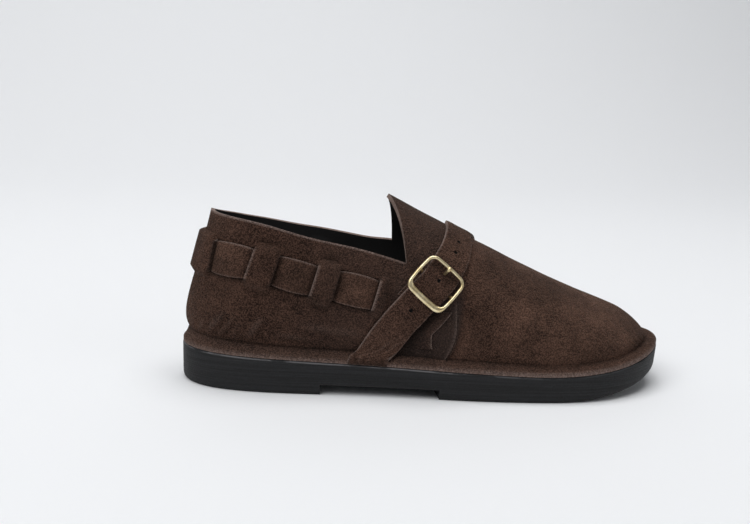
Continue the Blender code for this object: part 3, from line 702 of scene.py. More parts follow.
def even_stations(knots, step):
    """Stations through the knots at an even step round the foot of the wall."""
    angles = np.linspace(0, math.pi, ROUND_STEPS)
    x, y = outline(LATERAL, angles, SHAPE["flange"](angles))
    run = np.concatenate(([0.0], np.cumsum(np.hypot(np.diff(x), np.diff(y)))))
    stations = []
    for start, end in zip(knots, knots[1:]):
        low, high = np.interp(angle_of((start, end)), angles, run)
        count = max(1, round((high - low) / step))
        inner_runs = np.linspace(low, high, count + 1)[1:-1]
        stations += [start, *edge_x(np.interp(inner_runs, run, angles))]
    return np.array([*stations, knots[-1]])


# Meshes

NAP, LINING, CUT = 0, 1, 2
# Marks on the leather: tone of the panel, rubbed edges with painted highlights, and painted shade
MARK_NAMES = ("panel", "rub_and_highlight", "dark")
# Edges whose painted shade passes this keep the nap instead of the cut edge
DARK_EDGE = 0.5


class Sheet:
    """Outer points, inner points and faces of one leather wall, closed round its edges at the end."""

    def __init__(self):
        self.outer = []
        self.inner = []
        self.marks = []
        self.faces = []
        self.places = {}

    def point(self, key, outer, inner, marks):
        """Number of the point with this key, made once as an outer and an inner place."""
        if key not in self.places:
            self.places[key] = len(self.outer)
            self.outer.append(outer)
            self.inner.append(inner)
            self.marks.append(marks)
        return self.places[key]

    def quad(self, corners, turned):
        corners = tuple(dict.fromkeys(corners))
        self.faces.append(corners[::-1] if turned else corners)

    def lay(self, outer, inner, marks, turned=False, key=lambda row, lane: (row, lane)):
        """Quads over a grid of places; the key says which of its places are one point."""
        def corner(row, lane):
            return self.point(key(row, lane), outer[row, lane], inner[row, lane], marks[row, lane])

        for row in range(outer.shape[0] - 1):
            for lane in range(outer.shape[1] - 1):
                self.quad((corner(row, lane), corner(row + 1, lane),
                           corner(row + 1, lane + 1), corner(row, lane + 1)), turned)

    def closed(self):
        """Points, faces, kinds of face and marks of the closed wall; its edges are cut but for those in
        strong painted shade.
        """
        count = len(self.outer)
        faces = list(self.faces)
        faces += [tuple(corner + count for corner in reversed(face)) for face in self.faces]
        kinds = [NAP] * len(self.faces) + [LINING] * len(self.faces)
        edges = {}
        for face in self.faces:
            for start, end in zip(face, face[1:] + face[:1]):
                edges[(start, end)] = True
        dark = MARK_NAMES.index("dark")
        for start, end in edges:
            if (end, start) not in edges:
                faces.append((end, start, start + count, end + count))
                # Edges under strong painted shade keep the nap, so that the painted shade darkens them
                in_painted_shade = min(self.marks[start][dark], self.marks[end][dark]) > DARK_EDGE
                kinds.append(NAP if in_painted_shade else CUT)
        return np.array(self.outer + self.inner), faces, kinds, np.array(self.marks + self.marks)


def shoe_object(name, points, faces, materials, nodes, kinds=None, marks=None, sharp=40):
    """Named piece from points in millimetres, riding on the shoe and standing for its CAD nodes."""
    mesh = bpy.data.meshes.new(name)
    places = (np.asarray(points) - ORIGIN) * MM
    mesh.from_pydata([tuple(place) for place in places], [], faces)
    mesh.shade_smooth()
    mesh.set_sharp_from_angle(angle=math.radians(sharp))
    for material in materials:
        mesh.materials.append(material)
    if kinds is not None:
        mesh.polygons.foreach_set("material_index", np.asarray(kinds, dtype=np.int32))
    if marks is not None:
        for column, mark in enumerate(MARK_NAMES):
            attribute = mesh.attributes.new(mark, "FLOAT", "POINT")
            attribute.data.foreach_set("value", np.ascontiguousarray(marks[:, column], dtype=np.float32))
    piece = bpy.data.objects.new(name, mesh)
    bpy.context.scene.collection.objects.link(piece)
    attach(piece, "root")
    if nodes:
        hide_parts(*nodes)
    return piece


def tube(path, radii, looped, upright, sides=14):
    """Round or oval rod along a path: radii holds half widths across and along the upright."""
    path = np.asarray(path, float)
    count = len(path)
    points = []
    for number in range(count):
        after = path[(number + 1) % count] if looped else path[min(number + 1, count - 1)]
        before = path[number - 1] if looped else path[max(number - 1, 0)]
        along = (after - before) / np.linalg.norm(after - before)
        aside = np.cross(along, upright)
        aside /= np.linalg.norm(aside)
        up = np.cross(aside, along)
        wide, tall = radii[number]
        for step in range(sides):
            turn = 2 * math.pi * step / sides
            points.append(path[number] + wide * math.cos(turn) * aside + tall * math.sin(turn) * up)
    faces = []
    for number in range(count if looped else count - 1):
        after = (number + 1) % count
        for step in range(sides):
            other = (step + 1) % sides
            faces.append((number * sides + step, after * sides + step,
                          after * sides + other, number * sides + other))
    if not looped:
        faces.append(tuple(range(sides)))
        faces.append(tuple(reversed(range((count - 1) * sides, count * sides))))
    return np.array(points), faces


def joined(shapes):
    """Points and faces of several shapes as one."""
    points = []
    faces = []
    for more, rings in shapes:
        faces += [tuple(corner + len(points) for corner in ring) for ring in rings]
        points += list(more)
    return np.array(points), faces


# Instep strap's route


def unfold(turn):
    """Side and lift of a turn that runs over the ridge."""
    return (LATERAL, turn) if turn <= 1 else (MEDIAL, 2 - turn)


def nearest_on_skin(side, angle, lift, target):
    """Place on the upper nearest to a point, searched from a place close by."""
    for _ in range(SEARCH_STEPS):
        along, up, _normal = skin_frame(side, angle, lift, skin)
        miss = target - skin(side, angle, lift)
        move = np.linalg.lstsq(np.stack((along, up), -1), miss, rcond=None)[0]
        angle = float(np.clip(angle + move[0], 0.0, math.pi))
        lift = float(lift + np.clip(move[1], -SEARCH_LIFT, SEARCH_LIFT))
        if lift > 1:
            side, lift = -side, 2 - lift
        lift = max(lift, -1.0)
    return side, angle, lift


def saddle_proud(station, height):
    """How far the saddle flap stands proud of the vamp, behind its front edge."""
    back = SADDLE_STATION - station
    low = fading(height, SADDLE_TOP, SADDLE_TOP + SADDLE_BLEND)
    return np.where(back < 0, 0.0, SADDLE_STEP * np.clip(1 - back / SADDLE_FADE, 0, 1) * low)


class Route:
    """Line of the instep strap over the upper, measured in millimetres from the buckle."""

    def __init__(self):
        shares = np.linspace(0, 1, len(STRAP_ROUTE))
        steps = np.linspace(0, 1, ROUTE_STEPS)
        flange_steps = np.linspace(0, 1, ROUTE_FLANGE_STEPS)
        rows = {}
        for number, name in enumerate(StrapPoint._fields):
            middle = spline(shares, [row[number] for row in STRAP_ROUTE])(steps)
            outer = np.interp(flange_steps[:-1], (0, 1), (STRAP_OUTER_END[number], middle[0]))
            inner = np.interp(flange_steps[1:], (0, 1), (middle[-1], STRAP_INNER_END[number]))
            rows[name] = np.concatenate((outer, middle, inner))
        self.stations, self.turns = rows["station"], rows["turn"]
        self.numbers = np.arange(len(self.turns))
        points = np.array([self.place(number)[3] for number in self.numbers])
        lengths = np.concatenate(([0.0], np.cumsum(np.linalg.norm(np.diff(points, axis=0), axis=1))))
        self.lengths = lengths - np.interp(BUCKLE_TURN, self.turns, lengths)

    def place(self, number):
        """Side, angle, lift and point at a place in the sampled line."""
        side, lift = unfold(float(np.interp(number, self.numbers, self.turns)))
        angle = float(angle_of(np.interp(number, self.numbers, self.stations)))
        return side, angle, lift, skin(side, angle, lift)

    def at(self, length):
        """Side, angle, lift, point, and the along, across and outward directions at a length."""
        number = float(np.interp(length, self.lengths, self.numbers))
        side, angle, lift, point = self.place(number)
        before = self.place(max(number - ROUTE_REACH, 0))[3]
        after = self.place(min(number + ROUTE_REACH, self.numbers[-1]))[3]
        along = (after - before) / np.linalg.norm(after - before)
        normal = skin_frame(side, angle, lift, skin)[2]
        across = np.cross(normal, along)
        across /= np.linalg.norm(across)
        return side, angle, lift, point, along, across, np.cross(along, across)

    def beside(self, length, offset):
        """Point and outward normal on the upper, beside the line by an offset.

        The offset is square to the strap over the instep and runs along the sole at the strap's ends.
        """
        offset = offset * (1 - STRAP_TAPER * float(smooth(*TAPER_SPAN, length)))
        side, angle, lift, point, _along, across, _normal = self.at(length)
        from_end = self.lengths[-1] - length
        skew = max(fading(length, SKEW_END, SKEW_START), fading(from_end, INNER_SKEW, INNER_SQUARE))
        widened = -offset * (STRAP_SKEW if side == LATERAL else 1.0)
        level = float(angle_of(edge_x(angle) + widened))
        if skew < 1:
            side, square, square_lift = nearest_on_skin(side, angle, lift, point + across * offset)
            angle = square + (level - square) * skew
            lift = square_lift + (lift - square_lift) * skew
        else:
            angle = level
        place = skin(side, angle, lift)
        normal = skin_frame(side, angle, lift, skin)[2]
        proud = float(saddle_proud(float(edge_x(angle)), place[2])) if lift >= 0 else 0.0
        return place + normal * proud, normal


def strap_hump(length):
    """Lift of the strap over the tab and over the buckle's middle bar."""
    tab = (TAB_THICKNESS + SEAT_GAP) * band(length, *TAB_HUMP_IN, *TAB_HUMP_OUT)
    bar = BAR_HEIGHT + BAR_ROD / 2 + SEAT_GAP - STRAP_GAP
    return np.maximum(tab, bar * band(length, *BAR_HUMP_IN, *BAR_HUMP_OUT))


def fine(values, old, new):
    """Rows of places carried by a smooth curve from old knots to new ones."""
    flat = values.reshape(len(old), -1)
    columns = [spline(old, flat[:, column])(new) for column in range(flat.shape[1])]
    return np.stack(columns, -1).reshape(len(new), *values.shape[1:])


def strip_grid(route, lengths, offsets, coarse_step=3.4, coarse_lanes=5):
    """Places and outward normals of the upper under a strip, at each length and offset."""
    count = round((lengths[-1] - lengths[0]) / coarse_step)
    rows = np.linspace(lengths[0], lengths[-1], count + 1)
    lanes = np.linspace(offsets[0], offsets[-1], coarse_lanes)
    cells = [[route.beside(row, lane) for lane in lanes] for row in rows]
    places = np.array([[cell[0] for cell in row] for row in cells])
    normals = np.array([[cell[1] for cell in row] for row in cells])
    grids = []
    for values in (places, normals):
        values = fine(values, rows, lengths)
        values = fine(np.swapaxes(values, 0, 1), lanes, offsets)
        grids.append(np.swapaxes(values, 0, 1))
    grids[1] /= np.linalg.norm(grids[1], axis=-1, keepdims=True)
    return grids


def strip_sheet(grid, face, back, marks):
    """Leather strip between a face and a back height over the upper."""
    places, normals = grid
    sheet = Sheet()
    sheet.lay(places + normals * face[..., None], places + normals * back[..., None], marks)
    return sheet.closed()


def waves(points, seed, sizes, count=7):
    """Sum of soft waves through space, of the given wavelengths in millimetres."""
    random = np.random.default_rng(seed)
    total = np.zeros(points.shape[:-1])
    for size in sizes:
        for _ in range(count):
            direction = random.normal(size=3)
            direction /= np.linalg.norm(direction)
            phase = random.uniform(0, 2 * math.pi)
            total += np.sin(points @ direction * (2 * math.pi / size) + phase)
    return total / (count * len(sizes)) ** 0.5


def fold_relief(points):
    """Soft troughs of the folds on the outer side, with a low ridge beside each."""
    x, z = points[..., 0], points[..., 2]
    relief = np.zeros(x.shape)
    for fold in FOLDS:
        run = np.array((fold.end_x - fold.x, fold.end_z - fold.z))
        length = np.hypot(*run)
        along = ((x - fold.x) * run[0] + (z - fold.z) * run[1]) / length
        aside = ((z - fold.z) * run[0] - (x - fold.x) * run[1]) / length
        taper = band(along / length, *FOLD_START, *FOLD_END)
        trough = np.exp(-(aside / fold.width) ** 2)
        ridge = np.exp(-(aside / fold.width - FOLD_RIDGE_ASIDE) ** 2)
        relief += FOLD_STRENGTH * fold.depth * taper * (FOLD_RIDGE * ridge - trough)
    return relief


# Materials

# Brushed nap: how many patches, blooms and pebbles come to a cloud or a speck, and shares in tone and height
PATCHES_TO_A_CLOUD = 4.3
BLOOMS_TO_A_CLOUD = 1.2
PEBBLES_TO_A_SPECK = 0.5
BRUSH_STROKES = (260.0, 260.0, 900.0)
CLOUD_TONE = 0.23
PATCH_TONE = 0.17
SPECK_TONE = 0.66
BRUSH_TONE = 0.08
SPECK_HEIGHT = 0.6
PEBBLE_DEPTH = 0.35
BRUSH_HEIGHT = 0.25
NAP_ROUGHNESS = (0.84, 0.95)

# Leather: how its marks and blooms turn its colour
BLOOM_BY_PANEL = (0.10, 1.0)
BLOOM_PANEL_SPAN = (0.0, 0.8)
BLOOM_LIGHT = (1.75, 1.72, 1.70)
BLOOM_WARMTH = 0.12
PANEL_WARMTH = 0.14
PANEL_GREYNESS = 0.6
FUZZ_BY_HEIGHT = (0.45, 1.0)
# How far the dark mark's painted shade darkens the leather
PAINTED_SHADE_STRENGTH = 0.85
SHEEN_TINT = (0.8, 0.60, 0.48)

# Other finishes: shares in a tone or height, and shades of a colour as shares of it
FIBRE_TONE = 0.6
LINING_CLOUD_TONE = 0.6
RUBBER_LINE_HEIGHT = 0.8
LINING_DARK = 0.45
RUBBER_DARK = 0.30
RUBBER_PALE = 2.8
BRASS_DULL = (0.72, 0.66, 0.55)
THREAD_DARK = 0.5
PAPER_DARK = 0.985

# Stretched grain, in lines to the metre: along the sole, in its scuffs, on brass and in thread
RUBBER_LINES = (16.0, 16.0, 1150.0)
RUBBER_SCUFFS = (60.0, 60.0, 300.0)
BRASS_SCRATCHES = (3200.0, 500.0, 900.0)
THREAD_TWIST = (2600.0, 2600.0, 1400.0)

# Sockets of a colour mix: factor, the two colours, and its result
MIX_FACTOR, MIX_FIRST, MIX_SECOND, MIX_RESULT = 0, 6, 7, 2


def node_group(name, inputs, outputs):
    """Empty shader group with its named sockets, and its input and output nodes."""
    group = bpy.data.node_groups.new(name, "ShaderNodeTree")
    for socket, kind, default in inputs:
        made = group.interface.new_socket(socket, in_out="INPUT", socket_type=kind)
        made.default_value = default
    for socket, kind in outputs:
        group.interface.new_socket(socket, in_out="OUTPUT", socket_type=kind)
    return group, group.nodes.new("NodeGroupInput"), group.nodes.new("NodeGroupOutput")


class Tree:
    """Short ways to add the nodes of one tree."""

    def __init__(self, tree):
        self.tree = tree
        self.nodes = tree.nodes

    def link(self, source, target):
        self.tree.links.new(source, target)

    def feed(self, socket, value):
        if isinstance(value, bpy.types.NodeSocket):
            self.link(value, socket)
        elif isinstance(value, (tuple, list)) and len(value) == 3 and socket.type == "RGBA":
            socket.default_value = (*value, 1.0)
        else:
            socket.default_value = value

    def noise(self, vector, scale, detail=2.0, roughness=0.5, distortion=0.0):
        node = self.nodes.new("ShaderNodeTexNoise")
        self.link(vector, node.inputs["Vector"])
        self.feed(node.inputs["Scale"], scale)
        self.feed(node.inputs["Detail"], detail)
        self.feed(node.inputs["Roughness"], roughness)
        self.feed(node.inputs["Distortion"], distortion)
        return node.outputs["Fac"]

    def cells(self, vector, scale):
        node = self.nodes.new("ShaderNodeTexVoronoi")
        self.link(vector, node.inputs["Vector"])
        self.feed(node.inputs["Scale"], scale)
        return node.outputs["Distance"]

    def stretched(self, vector, scale):
        node = self.nodes.new("ShaderNodeMapping")
        self.link(vector, node.inputs["Vector"])
        self.feed(node.inputs["Scale"], scale)
        return node.outputs["Vector"]

    def maths(self, operation, first, second=0.0):
        node = self.nodes.new("ShaderNodeMath")
        node.operation = operation
        self.feed(node.inputs[0], first)
        self.feed(node.inputs[1], second)
        return node.outputs[0]

    def total(self, *parts):
        """Sum of masks, each times its weight, kept between 0 and 1."""
        whole = 0.0
        for mask, weight in parts:
            whole = self.maths("ADD", self.maths("MULTIPLY", mask, weight), whole)
        whole.node.use_clamp = True
        return whole

    def ramp(self, value, span, result=(0.0, 1.0)):
        """Soft step of a value over a span, carried to a span of results."""
        node = self.nodes.new("ShaderNodeMapRange")
        node.interpolation_type = "SMOOTHSTEP"
        self.feed(node.inputs["Value"], value)
        for socket, number in zip(("From Min", "From Max", "To Min", "To Max"), (*span, *result)):
            node.inputs[socket].default_value = number
        return node.outputs["Result"]

    def mix(self, factor, first, second, blend="MIX"):
        node = self.nodes.new("ShaderNodeMix")
        node.data_type = "RGBA"
        node.blend_type = blend
        self.feed(node.inputs[MIX_FACTOR], factor)
        self.feed(node.inputs[MIX_FIRST], first)
        self.feed(node.inputs[MIX_SECOND], second)
        return node.outputs[MIX_RESULT]

    def shade(self, values):
        """Sockets and plain values given to the shader by the names of its inputs."""
        for name, value in values.items():
            self.feed(self.nodes["Principled BSDF"].inputs[name], value)

    def mark(self, name):
        node = self.nodes.new("ShaderNodeAttribute")
        node.attribute_name = name
        return node.outputs["Fac"]

    def place(self):
        return self.nodes.new("ShaderNodeTexCoord").outputs["Object"]

    def bump(self, height, strength, distance):
        node = self.nodes.new("ShaderNodeBump")
        node.inputs["Strength"].default_value = strength
        node.inputs["Distance"].default_value = distance
        self.link(height, node.inputs["Height"])
        return node.outputs["Normal"]

    def group(self, group, **values):
        node = self.nodes.new("ShaderNodeGroup")
        node.node_tree = group
        for name, value in values.items():
            self.feed(node.inputs[name.replace("_", " ").capitalize()], value)
        return node.outputs


def grain_group():
    """Grain of a finish: noise with so many lines to the metre along each axis."""
    group, given, result = node_group(
        "stretched_grain",
        (("Lines", "NodeSocketVector", (1000.0, 1000.0, 1000.0)), ("Detail", "NodeSocketFloat", 2.0),
         ("Roughness", "NodeSocketFloat", 0.5), ("Distortion", "NodeSocketFloat", 0.0)),
        (("Grain", "NodeSocketFloat"),),
    )
    tree = Tree(group)
    place = tree.stretched(tree.place(), given.outputs["Lines"])
    grain = tree.noise(place, 1.0, given.outputs["Detail"], given.outputs["Roughness"],
                       given.outputs["Distortion"])
    tree.link(grain, result.inputs["Grain"])
    return group


def nap_group():
    """Brushed nap: cloudy mottling, patches and fine specks, as a tone, a height, a roughness and a bloom."""
    group, given, result = node_group(
        "brushed_nap",
        (("Clouds per metre", "NodeSocketFloat", 40.0), ("Specks per metre", "NodeSocketFloat", 1500.0)),
        (("Tone", "NodeSocketFloat"), ("Height", "NodeSocketFloat"), ("Roughness", "NodeSocketFloat"),
         ("Bloom", "NodeSocketFloat")),
    )
    tree = Tree(group)
    place = tree.place()
    clouds = given.outputs["Clouds per metre"]
    specks = given.outputs["Specks per metre"]
    patches = tree.maths("MULTIPLY", clouds, PATCHES_TO_A_CLOUD)
    blooms = tree.maths("MULTIPLY", clouds, BLOOMS_TO_A_CLOUD)
    pebbles = tree.maths("MULTIPLY", specks, PEBBLES_TO_A_SPECK)
    cloud = tree.noise(place, clouds, detail=3.0, roughness=0.55, distortion=0.6)
    patch = tree.noise(place, patches, detail=3.0, roughness=0.6, distortion=0.8)
    bloom = tree.noise(place, blooms, detail=3.0, roughness=0.5, distortion=0.4)
    speck = tree.noise(place, specks, detail=1.0, roughness=0.5)
    brush = tree.noise(tree.stretched(place, BRUSH_STROKES), 1.0, detail=2.0, roughness=0.6, distortion=0.4)
    pebble = tree.cells(place, pebbles)
    tone = tree.total(
        (tree.ramp(cloud, span=(0.34, 0.66)), CLOUD_TONE),
        (tree.ramp(patch, span=(0.38, 0.62)), PATCH_TONE),
        (tree.ramp(speck, span=(0.45, 0.55)), SPECK_TONE),
        (tree.ramp(brush, span=(0.3, 0.7)), BRUSH_TONE),
    )
    height = tree.maths("ADD", tree.maths("MULTIPLY", speck, SPECK_HEIGHT),
                        tree.maths("MULTIPLY", pebble, -PEBBLE_DEPTH))
    height = tree.maths("ADD", height, tree.maths("MULTIPLY", brush, BRUSH_HEIGHT))
    tree.link(tone, result.inputs["Tone"])
    tree.link(height, result.inputs["Height"])
    tree.link(tree.ramp(patch, span=(0.2, 0.8), result=NAP_ROUGHNESS), result.inputs["Roughness"])
    tree.link(tree.ramp(bloom, span=(0.36, 0.66)), result.inputs["Bloom"])
    return group


def new_material(name):
    """Material with its tree helper."""
    material = bpy.data.materials.new(name)
    material.use_nodes = True
    return material, Tree(material.node_tree)


def shaded(colour, share):
    """Colour of the panel times a share, or times a share for each channel."""
    return tuple(np.asarray(colour) * share)


class Finishes:
    """Materials of the shoe, each made once from the colours of the panel."""

    def __init__(self, colours):
        self.colours = colours
        self.grain_nodes = grain_group()
        self.made = {}

    def get(self, name):
        if name not in self.made:
            self.made[name] = getattr(self, name)()
        return self.made[name]

    def grain(self, tree, lines, **values):
        """Grain in a material, by its lines to the metre: one number for all ways or one for each axis."""
        lines = (lines,) * 3 if isinstance(lines, float) else lines
        return tree.group(self.grain_nodes, lines=lines, **values)["Grain"]

    def leather(self):
        """Napped brown leather, lighter at rubbed edges and painted highlights, darker under painted shade.
        """
        material, tree = new_material("napped_leather")
        colours = self.colours
        nap = tree.group(nap_group(), clouds_per_metre=38.0, specks_per_metre=1500.0)
        panel = tree.mark("panel")
        bloom = tree.maths("MULTIPLY", tree.ramp(panel, BLOOM_PANEL_SPAN, BLOOM_BY_PANEL), nap["Bloom"])
        base = tree.mix(nap["Tone"], tuple(colours.leather_dark), tuple(colours.leather_light))
        base = tree.mix(bloom, base, BLOOM_LIGHT, "MULTIPLY")
        warm = tree.total((bloom, BLOOM_WARMTH), (tree.ramp(panel, span=(0.0, 1.0)), PANEL_WARMTH))
        base = tree.mix(warm, base, tuple(colours.leather_warm))
        grey = tree.ramp(tree.maths("MULTIPLY", panel, -1.0), span=(0.0, 1.0), result=(0.0, PANEL_GREYNESS))
        base = tree.mix(grey, base, tuple(colours.leather_grey))
        fuzz = tree.ramp(nap["Height"], span=(0.1, 0.5), result=FUZZ_BY_HEIGHT)
        # Rubbed edges and painted highlights lean towards the cut edge's colour, broken up by the nap
        base = tree.mix(tree.total((fuzz, tree.mark("rub_and_highlight"))), base, tuple(colours.cut_edge))
        # Painted shade in creases and folds, round the windows, at the saddle and under the straps
        base = tree.mix(tree.total((tree.mark("dark"), PAINTED_SHADE_STRENGTH)), base, tuple(colours.crease))
        tree.shade({
            "Base Color": base,
            "Roughness": nap["Roughness"],
            "Normal": tree.bump(nap["Height"], strength=1.0, distance=0.0024),
            "Specular IOR Level": 0.08,
            "Sheen Weight": 0.055,
            "Sheen Roughness": 0.5,
            "Sheen Tint": SHEEN_TINT,
        })
        return material

    def cut_edge(self):
        """Raw cut edge of the leather, pale and fibrous."""
        material, tree = new_material("cut_leather_edge")
        fibre = self.grain(tree, 1300.0, detail=3.0, roughness=0.65)
        patch = self.grain(tree, 160.0, detail=2.0, roughness=0.6)
        tone = tree.total(
            (tree.ramp(fibre, span=(0.3, 0.7)), FIBRE_TONE),
            (tree.ramp(patch, span=(0.3, 0.7)), 1 - FIBRE_TONE),
        )
        tree.shade({
            "Base Color": tree.mix(tone, tuple(self.colours.leather_warm), tuple(self.colours.cut_edge)),
            "Roughness": tree.ramp(fibre, span=(0.2, 0.8), result=(0.8, 0.95)),
            "Normal": tree.bump(fibre, strength=0.5, distance=0.0005),
        })
        return material

    def lining(self):
        """Dark, worn-smooth flesh side inside the shoe."""
        material, tree = new_material("dark_lining")
        cloud = self.grain(tree, 90.0, detail=3.0, roughness=0.6)
        grain = self.grain(tree, 1100.0, detail=2.0, roughness=0.6)
        tone = tree.total((cloud, LINING_CLOUD_TONE), (grain, 1 - LINING_CLOUD_TONE))
        light = tuple(self.colours.lining)
        tree.shade({
            "Base Color": tree.mix(tone, shaded(light, LINING_DARK), light),
            "Roughness": tree.ramp(cloud, span=(0.3, 0.7), result=(0.7, 0.9)),
            "Normal": tree.bump(grain, strength=0.4, distance=0.0004),
        })
        return material

    def rubber(self):
        """Black rubber with fine lines along its side, scuffs and a painted highlight along its upper edge.
        """
        material, tree = new_material("lined_rubber")
        lines = self.grain(tree, RUBBER_LINES, detail=3.0, roughness=0.6, distortion=0.1)
        scuff = self.grain(tree, RUBBER_SCUFFS, detail=4.0, roughness=0.65, distortion=0.5)
        grain = self.grain(tree, 1400.0, detail=2.0, roughness=0.6)
        light = tuple(self.colours.rubber)
        base = tree.mix(tree.ramp(lines, span=(0.36, 0.64)), shaded(light, RUBBER_DARK), light)
        pale = tree.ramp(scuff, span=(0.62, 0.85), result=(0.0, 0.5))
        base = tree.mix(pale, base, shaded(light, RUBBER_PALE))
        # Painted highlight along the sole's upper edge, broken up by the scuffs
        edge_highlight = tree.maths("MULTIPLY", tree.mark("rub_and_highlight"), tree.ramp(scuff, span=(0.38, 0.58)))
        height = tree.total((lines, RUBBER_LINE_HEIGHT), (grain, 1 - RUBBER_LINE_HEIGHT))
        tree.shade({
            "Base Color": tree.mix(edge_highlight, base, tuple(self.colours.rubber_highlight)),
            "Roughness": tree.ramp(grain, span=(0.2, 0.8), result=(0.55, 0.72)),
            "Normal": tree.bump(height, strength=0.9, distance=0.0007),
            "Specular IOR Level": 0.35,
        })
        return material

    def brass(self):
        """Pale brass with a satin, finely scratched face, duller in cloudy patches."""
        material, tree = new_material("satin_brass")
        cloud = self.grain(tree, 220.0, detail=3.0, roughness=0.6)
        scratch = self.grain(tree, BRASS_SCRATCHES, detail=2.0, roughness=0.6)
        bright = tuple(self.colours.brass)
        tree.shade({
            "Base Color": tree.mix(tree.ramp(cloud, span=(0.3, 0.7)), shaded(bright, BRASS_DULL), bright),
            "Roughness": tree.ramp(scratch, span=(0.2, 0.8), result=(0.26, 0.42)),
            "Normal": tree.bump(scratch, strength=0.12, distance=0.0002),
            "Metallic": 1.0,
        })
        return material

    def thread(self):
        """Waxed sewing thread with the twist of its strands."""
        material, tree = new_material("brown_thread")
        twist = self.grain(tree, THREAD_TWIST, detail=2.0, roughness=0.5)
        light = tuple(self.colours.thread)
        tree.shade({
            "Base Color": tree.mix(tree.ramp(twist, span=(0.3, 0.7)), shaded(light, THREAD_DARK), light),
            "Roughness": tree.ramp(twist, span=(0.2, 0.8), result=(0.5, 0.75)),
            "Normal": tree.bump(twist, strength=0.4, distance=0.0003),
            "Specular IOR Level": 0.12,
        })
        return material

    def floor(self):
        """Plain pale studio paper."""
        material, tree = new_material("pale_paper")
        grain = self.grain(tree, 500.0, detail=2.0, roughness=0.5)
        pale = tuple(self.colours.floor)
        tree.shade({"Base Color": tree.mix(grain, shaded(pale, PAPER_DARK), pale), "Roughness": 0.9})
        return material


FINISHES = {}


def finish(context, name):
    """Material by name, made from the scene's colours the first time."""
    key = context.scene.name
    if key not in FINISHES:
        FINISHES[key] = Finishes(context.scene.shoe_colours)
    return FINISHES[key].get(name)


def leather_piece(context, name, sheet, nodes):
    """Piece of brown leather from a closed sheet: napped outside, lined inside, with raw cut edges."""
    points, faces, kinds, marks = sheet
    materials = [finish(context, part) for part in ("leather", "lining", "cut_edge")]
    return shoe_object(name, points, faces, materials, nodes, kinds, marks)


# Upper


def upper_rows(step):
    """Rows of the quarter from the crease up to the collar, as drops and shares."""
    slit_top, slit_end = BAND_DROP - SLIT_HALF, BAND_DROP + SLIT_HALF
    knots = (0.0, RIM_DROP, slit_top, slit_end, LOWEST_DROP)
    drops = [0.0, RIM_ROW]
    for start, end in zip(knots, knots[1:]):
        count = max(1, round((end - start) / step))
        drops += list(np.linspace(start, end, count + 1)[1:])
    shares = np.linspace(0, 1, round(LOWER_WALL / step) + 1)[1:]
    shares = shares + LOWER_CROWDING * (shares - shares ** 2)
    rows = [(LOWEST_DROP, share) for share in reversed(shares)]
    rows += [(drop, 0.0) for drop in reversed(sorted(drops))]
    return np.array([row[0] for row in rows]), np.array([row[1] for row in rows])


def bar_share(station, side_of_slit):
    """1 on the bars of the quarter and 0 in its windows; a slit belongs to the side that is asked."""
    inside = np.zeros(np.shape(station), bool)
    shift = -SAME_PLACE if side_of_slit == "ahead" else SAME_PLACE
    for window in WINDOWS:
        inside |= (station > window.back + shift) & (station < window.front + shift)
    return np.where(inside, 0.0, 1.0)


def soft_bar(station):
    """The same share with soft sides, for the rows above and below the slits."""
    share = np.ones(np.shape(station))
    for window in WINDOWS:
        share = share * (fading(station, window.back - BAR_SOFT_OUT, window.back + BAR_SOFT_IN)
                         + smooth(window.front - BAR_SOFT_IN, window.front + BAR_SOFT_OUT, station))
    return share


def bar_crown(station):
    """How far the sides of a bar curve down towards its slits, in millimetres."""
    fall = np.zeros(np.shape(station))
    for window in WINDOWS:
        for gap in (window.back - station, station - window.front):
            fall = np.maximum(fall, fading(gap, 0.0, BAR_CROWN_WIDTH) - (gap < 0))
    return BAR_CROWN * np.clip(fall, 0, 1)


def between(span, other, share):
    """Span that goes over from one to another by a share."""
    return [low + (high - low) * share for low, high in zip(span, other)]


def bar_profile(station, drop):
    """Rise of a bar over the heel strap by the drop below the collar, from 0 to 1."""
    heel = fading(station, *BAR_HEEL)
    top = smooth(*between(BAR_TOP, BAR_TOP_AT_HEEL, heel), drop)
    foot = fading(drop, *between(BAR_FOOT, BAR_FOOT_AT_HEEL, heel))
    return top * foot * fading(station - WINDOW_ENDS[-1], *BAR_END)


def crinkle(points, station, drop):
    """Fine wrinkles of the bars, where the leather is drawn over the strap."""
    lean = points[..., 0] * CRINKLE_LEAN[0] + points[..., 2] * CRINKLE_LEAN[1]
    sway = CRINKLE_SWAY * np.sin(points[..., 2] * CRINKLE_SWAY_RATE)
    lines = CRINKLE_HEIGHT * np.sin(lean * 2 * math.pi / CRINKLE_PITCH + sway)
    return lines * band(drop, *CRINKLE_BAND) * soft_bar(station) * smooth(*CRINKLE_HEEL, station)


def bar_creases(station, drop):
    """Depth of the creases above and below each bar, where the quarter is drawn out over the strap."""
    shares = [crease.share * np.exp(-((drop - crease.drop) / crease.width) ** 2) for crease in BAR_CREASES]
    ends = smooth(*CREASE_HEEL, station) * fading(station - WINDOW_ENDS[-1], 0.0, CREASE_FRONT)
    return BAR_CREASE * sum(shares) * soft_bar(station) * ends


def wall_relief(side, place, stations, drop):
    """Small forms of the wall, and the folds among them."""
    height = place[..., 2]
    rise = height - height[0]
    relief = saddle_proud(stations, height) + crinkle(place, stations, drop) - bar_creases(stations, drop)
    relief = relief + WAVE_HEIGHT * smooth(*WAVE_FREE, rise) * waves(place, WAVE_SEED, WAVE_SIZES)
    folds = fold_relief(place) * smooth(*FOLD_FREE, rise) if side == LATERAL else np.zeros(rise.shape)
    return relief + folds, folds


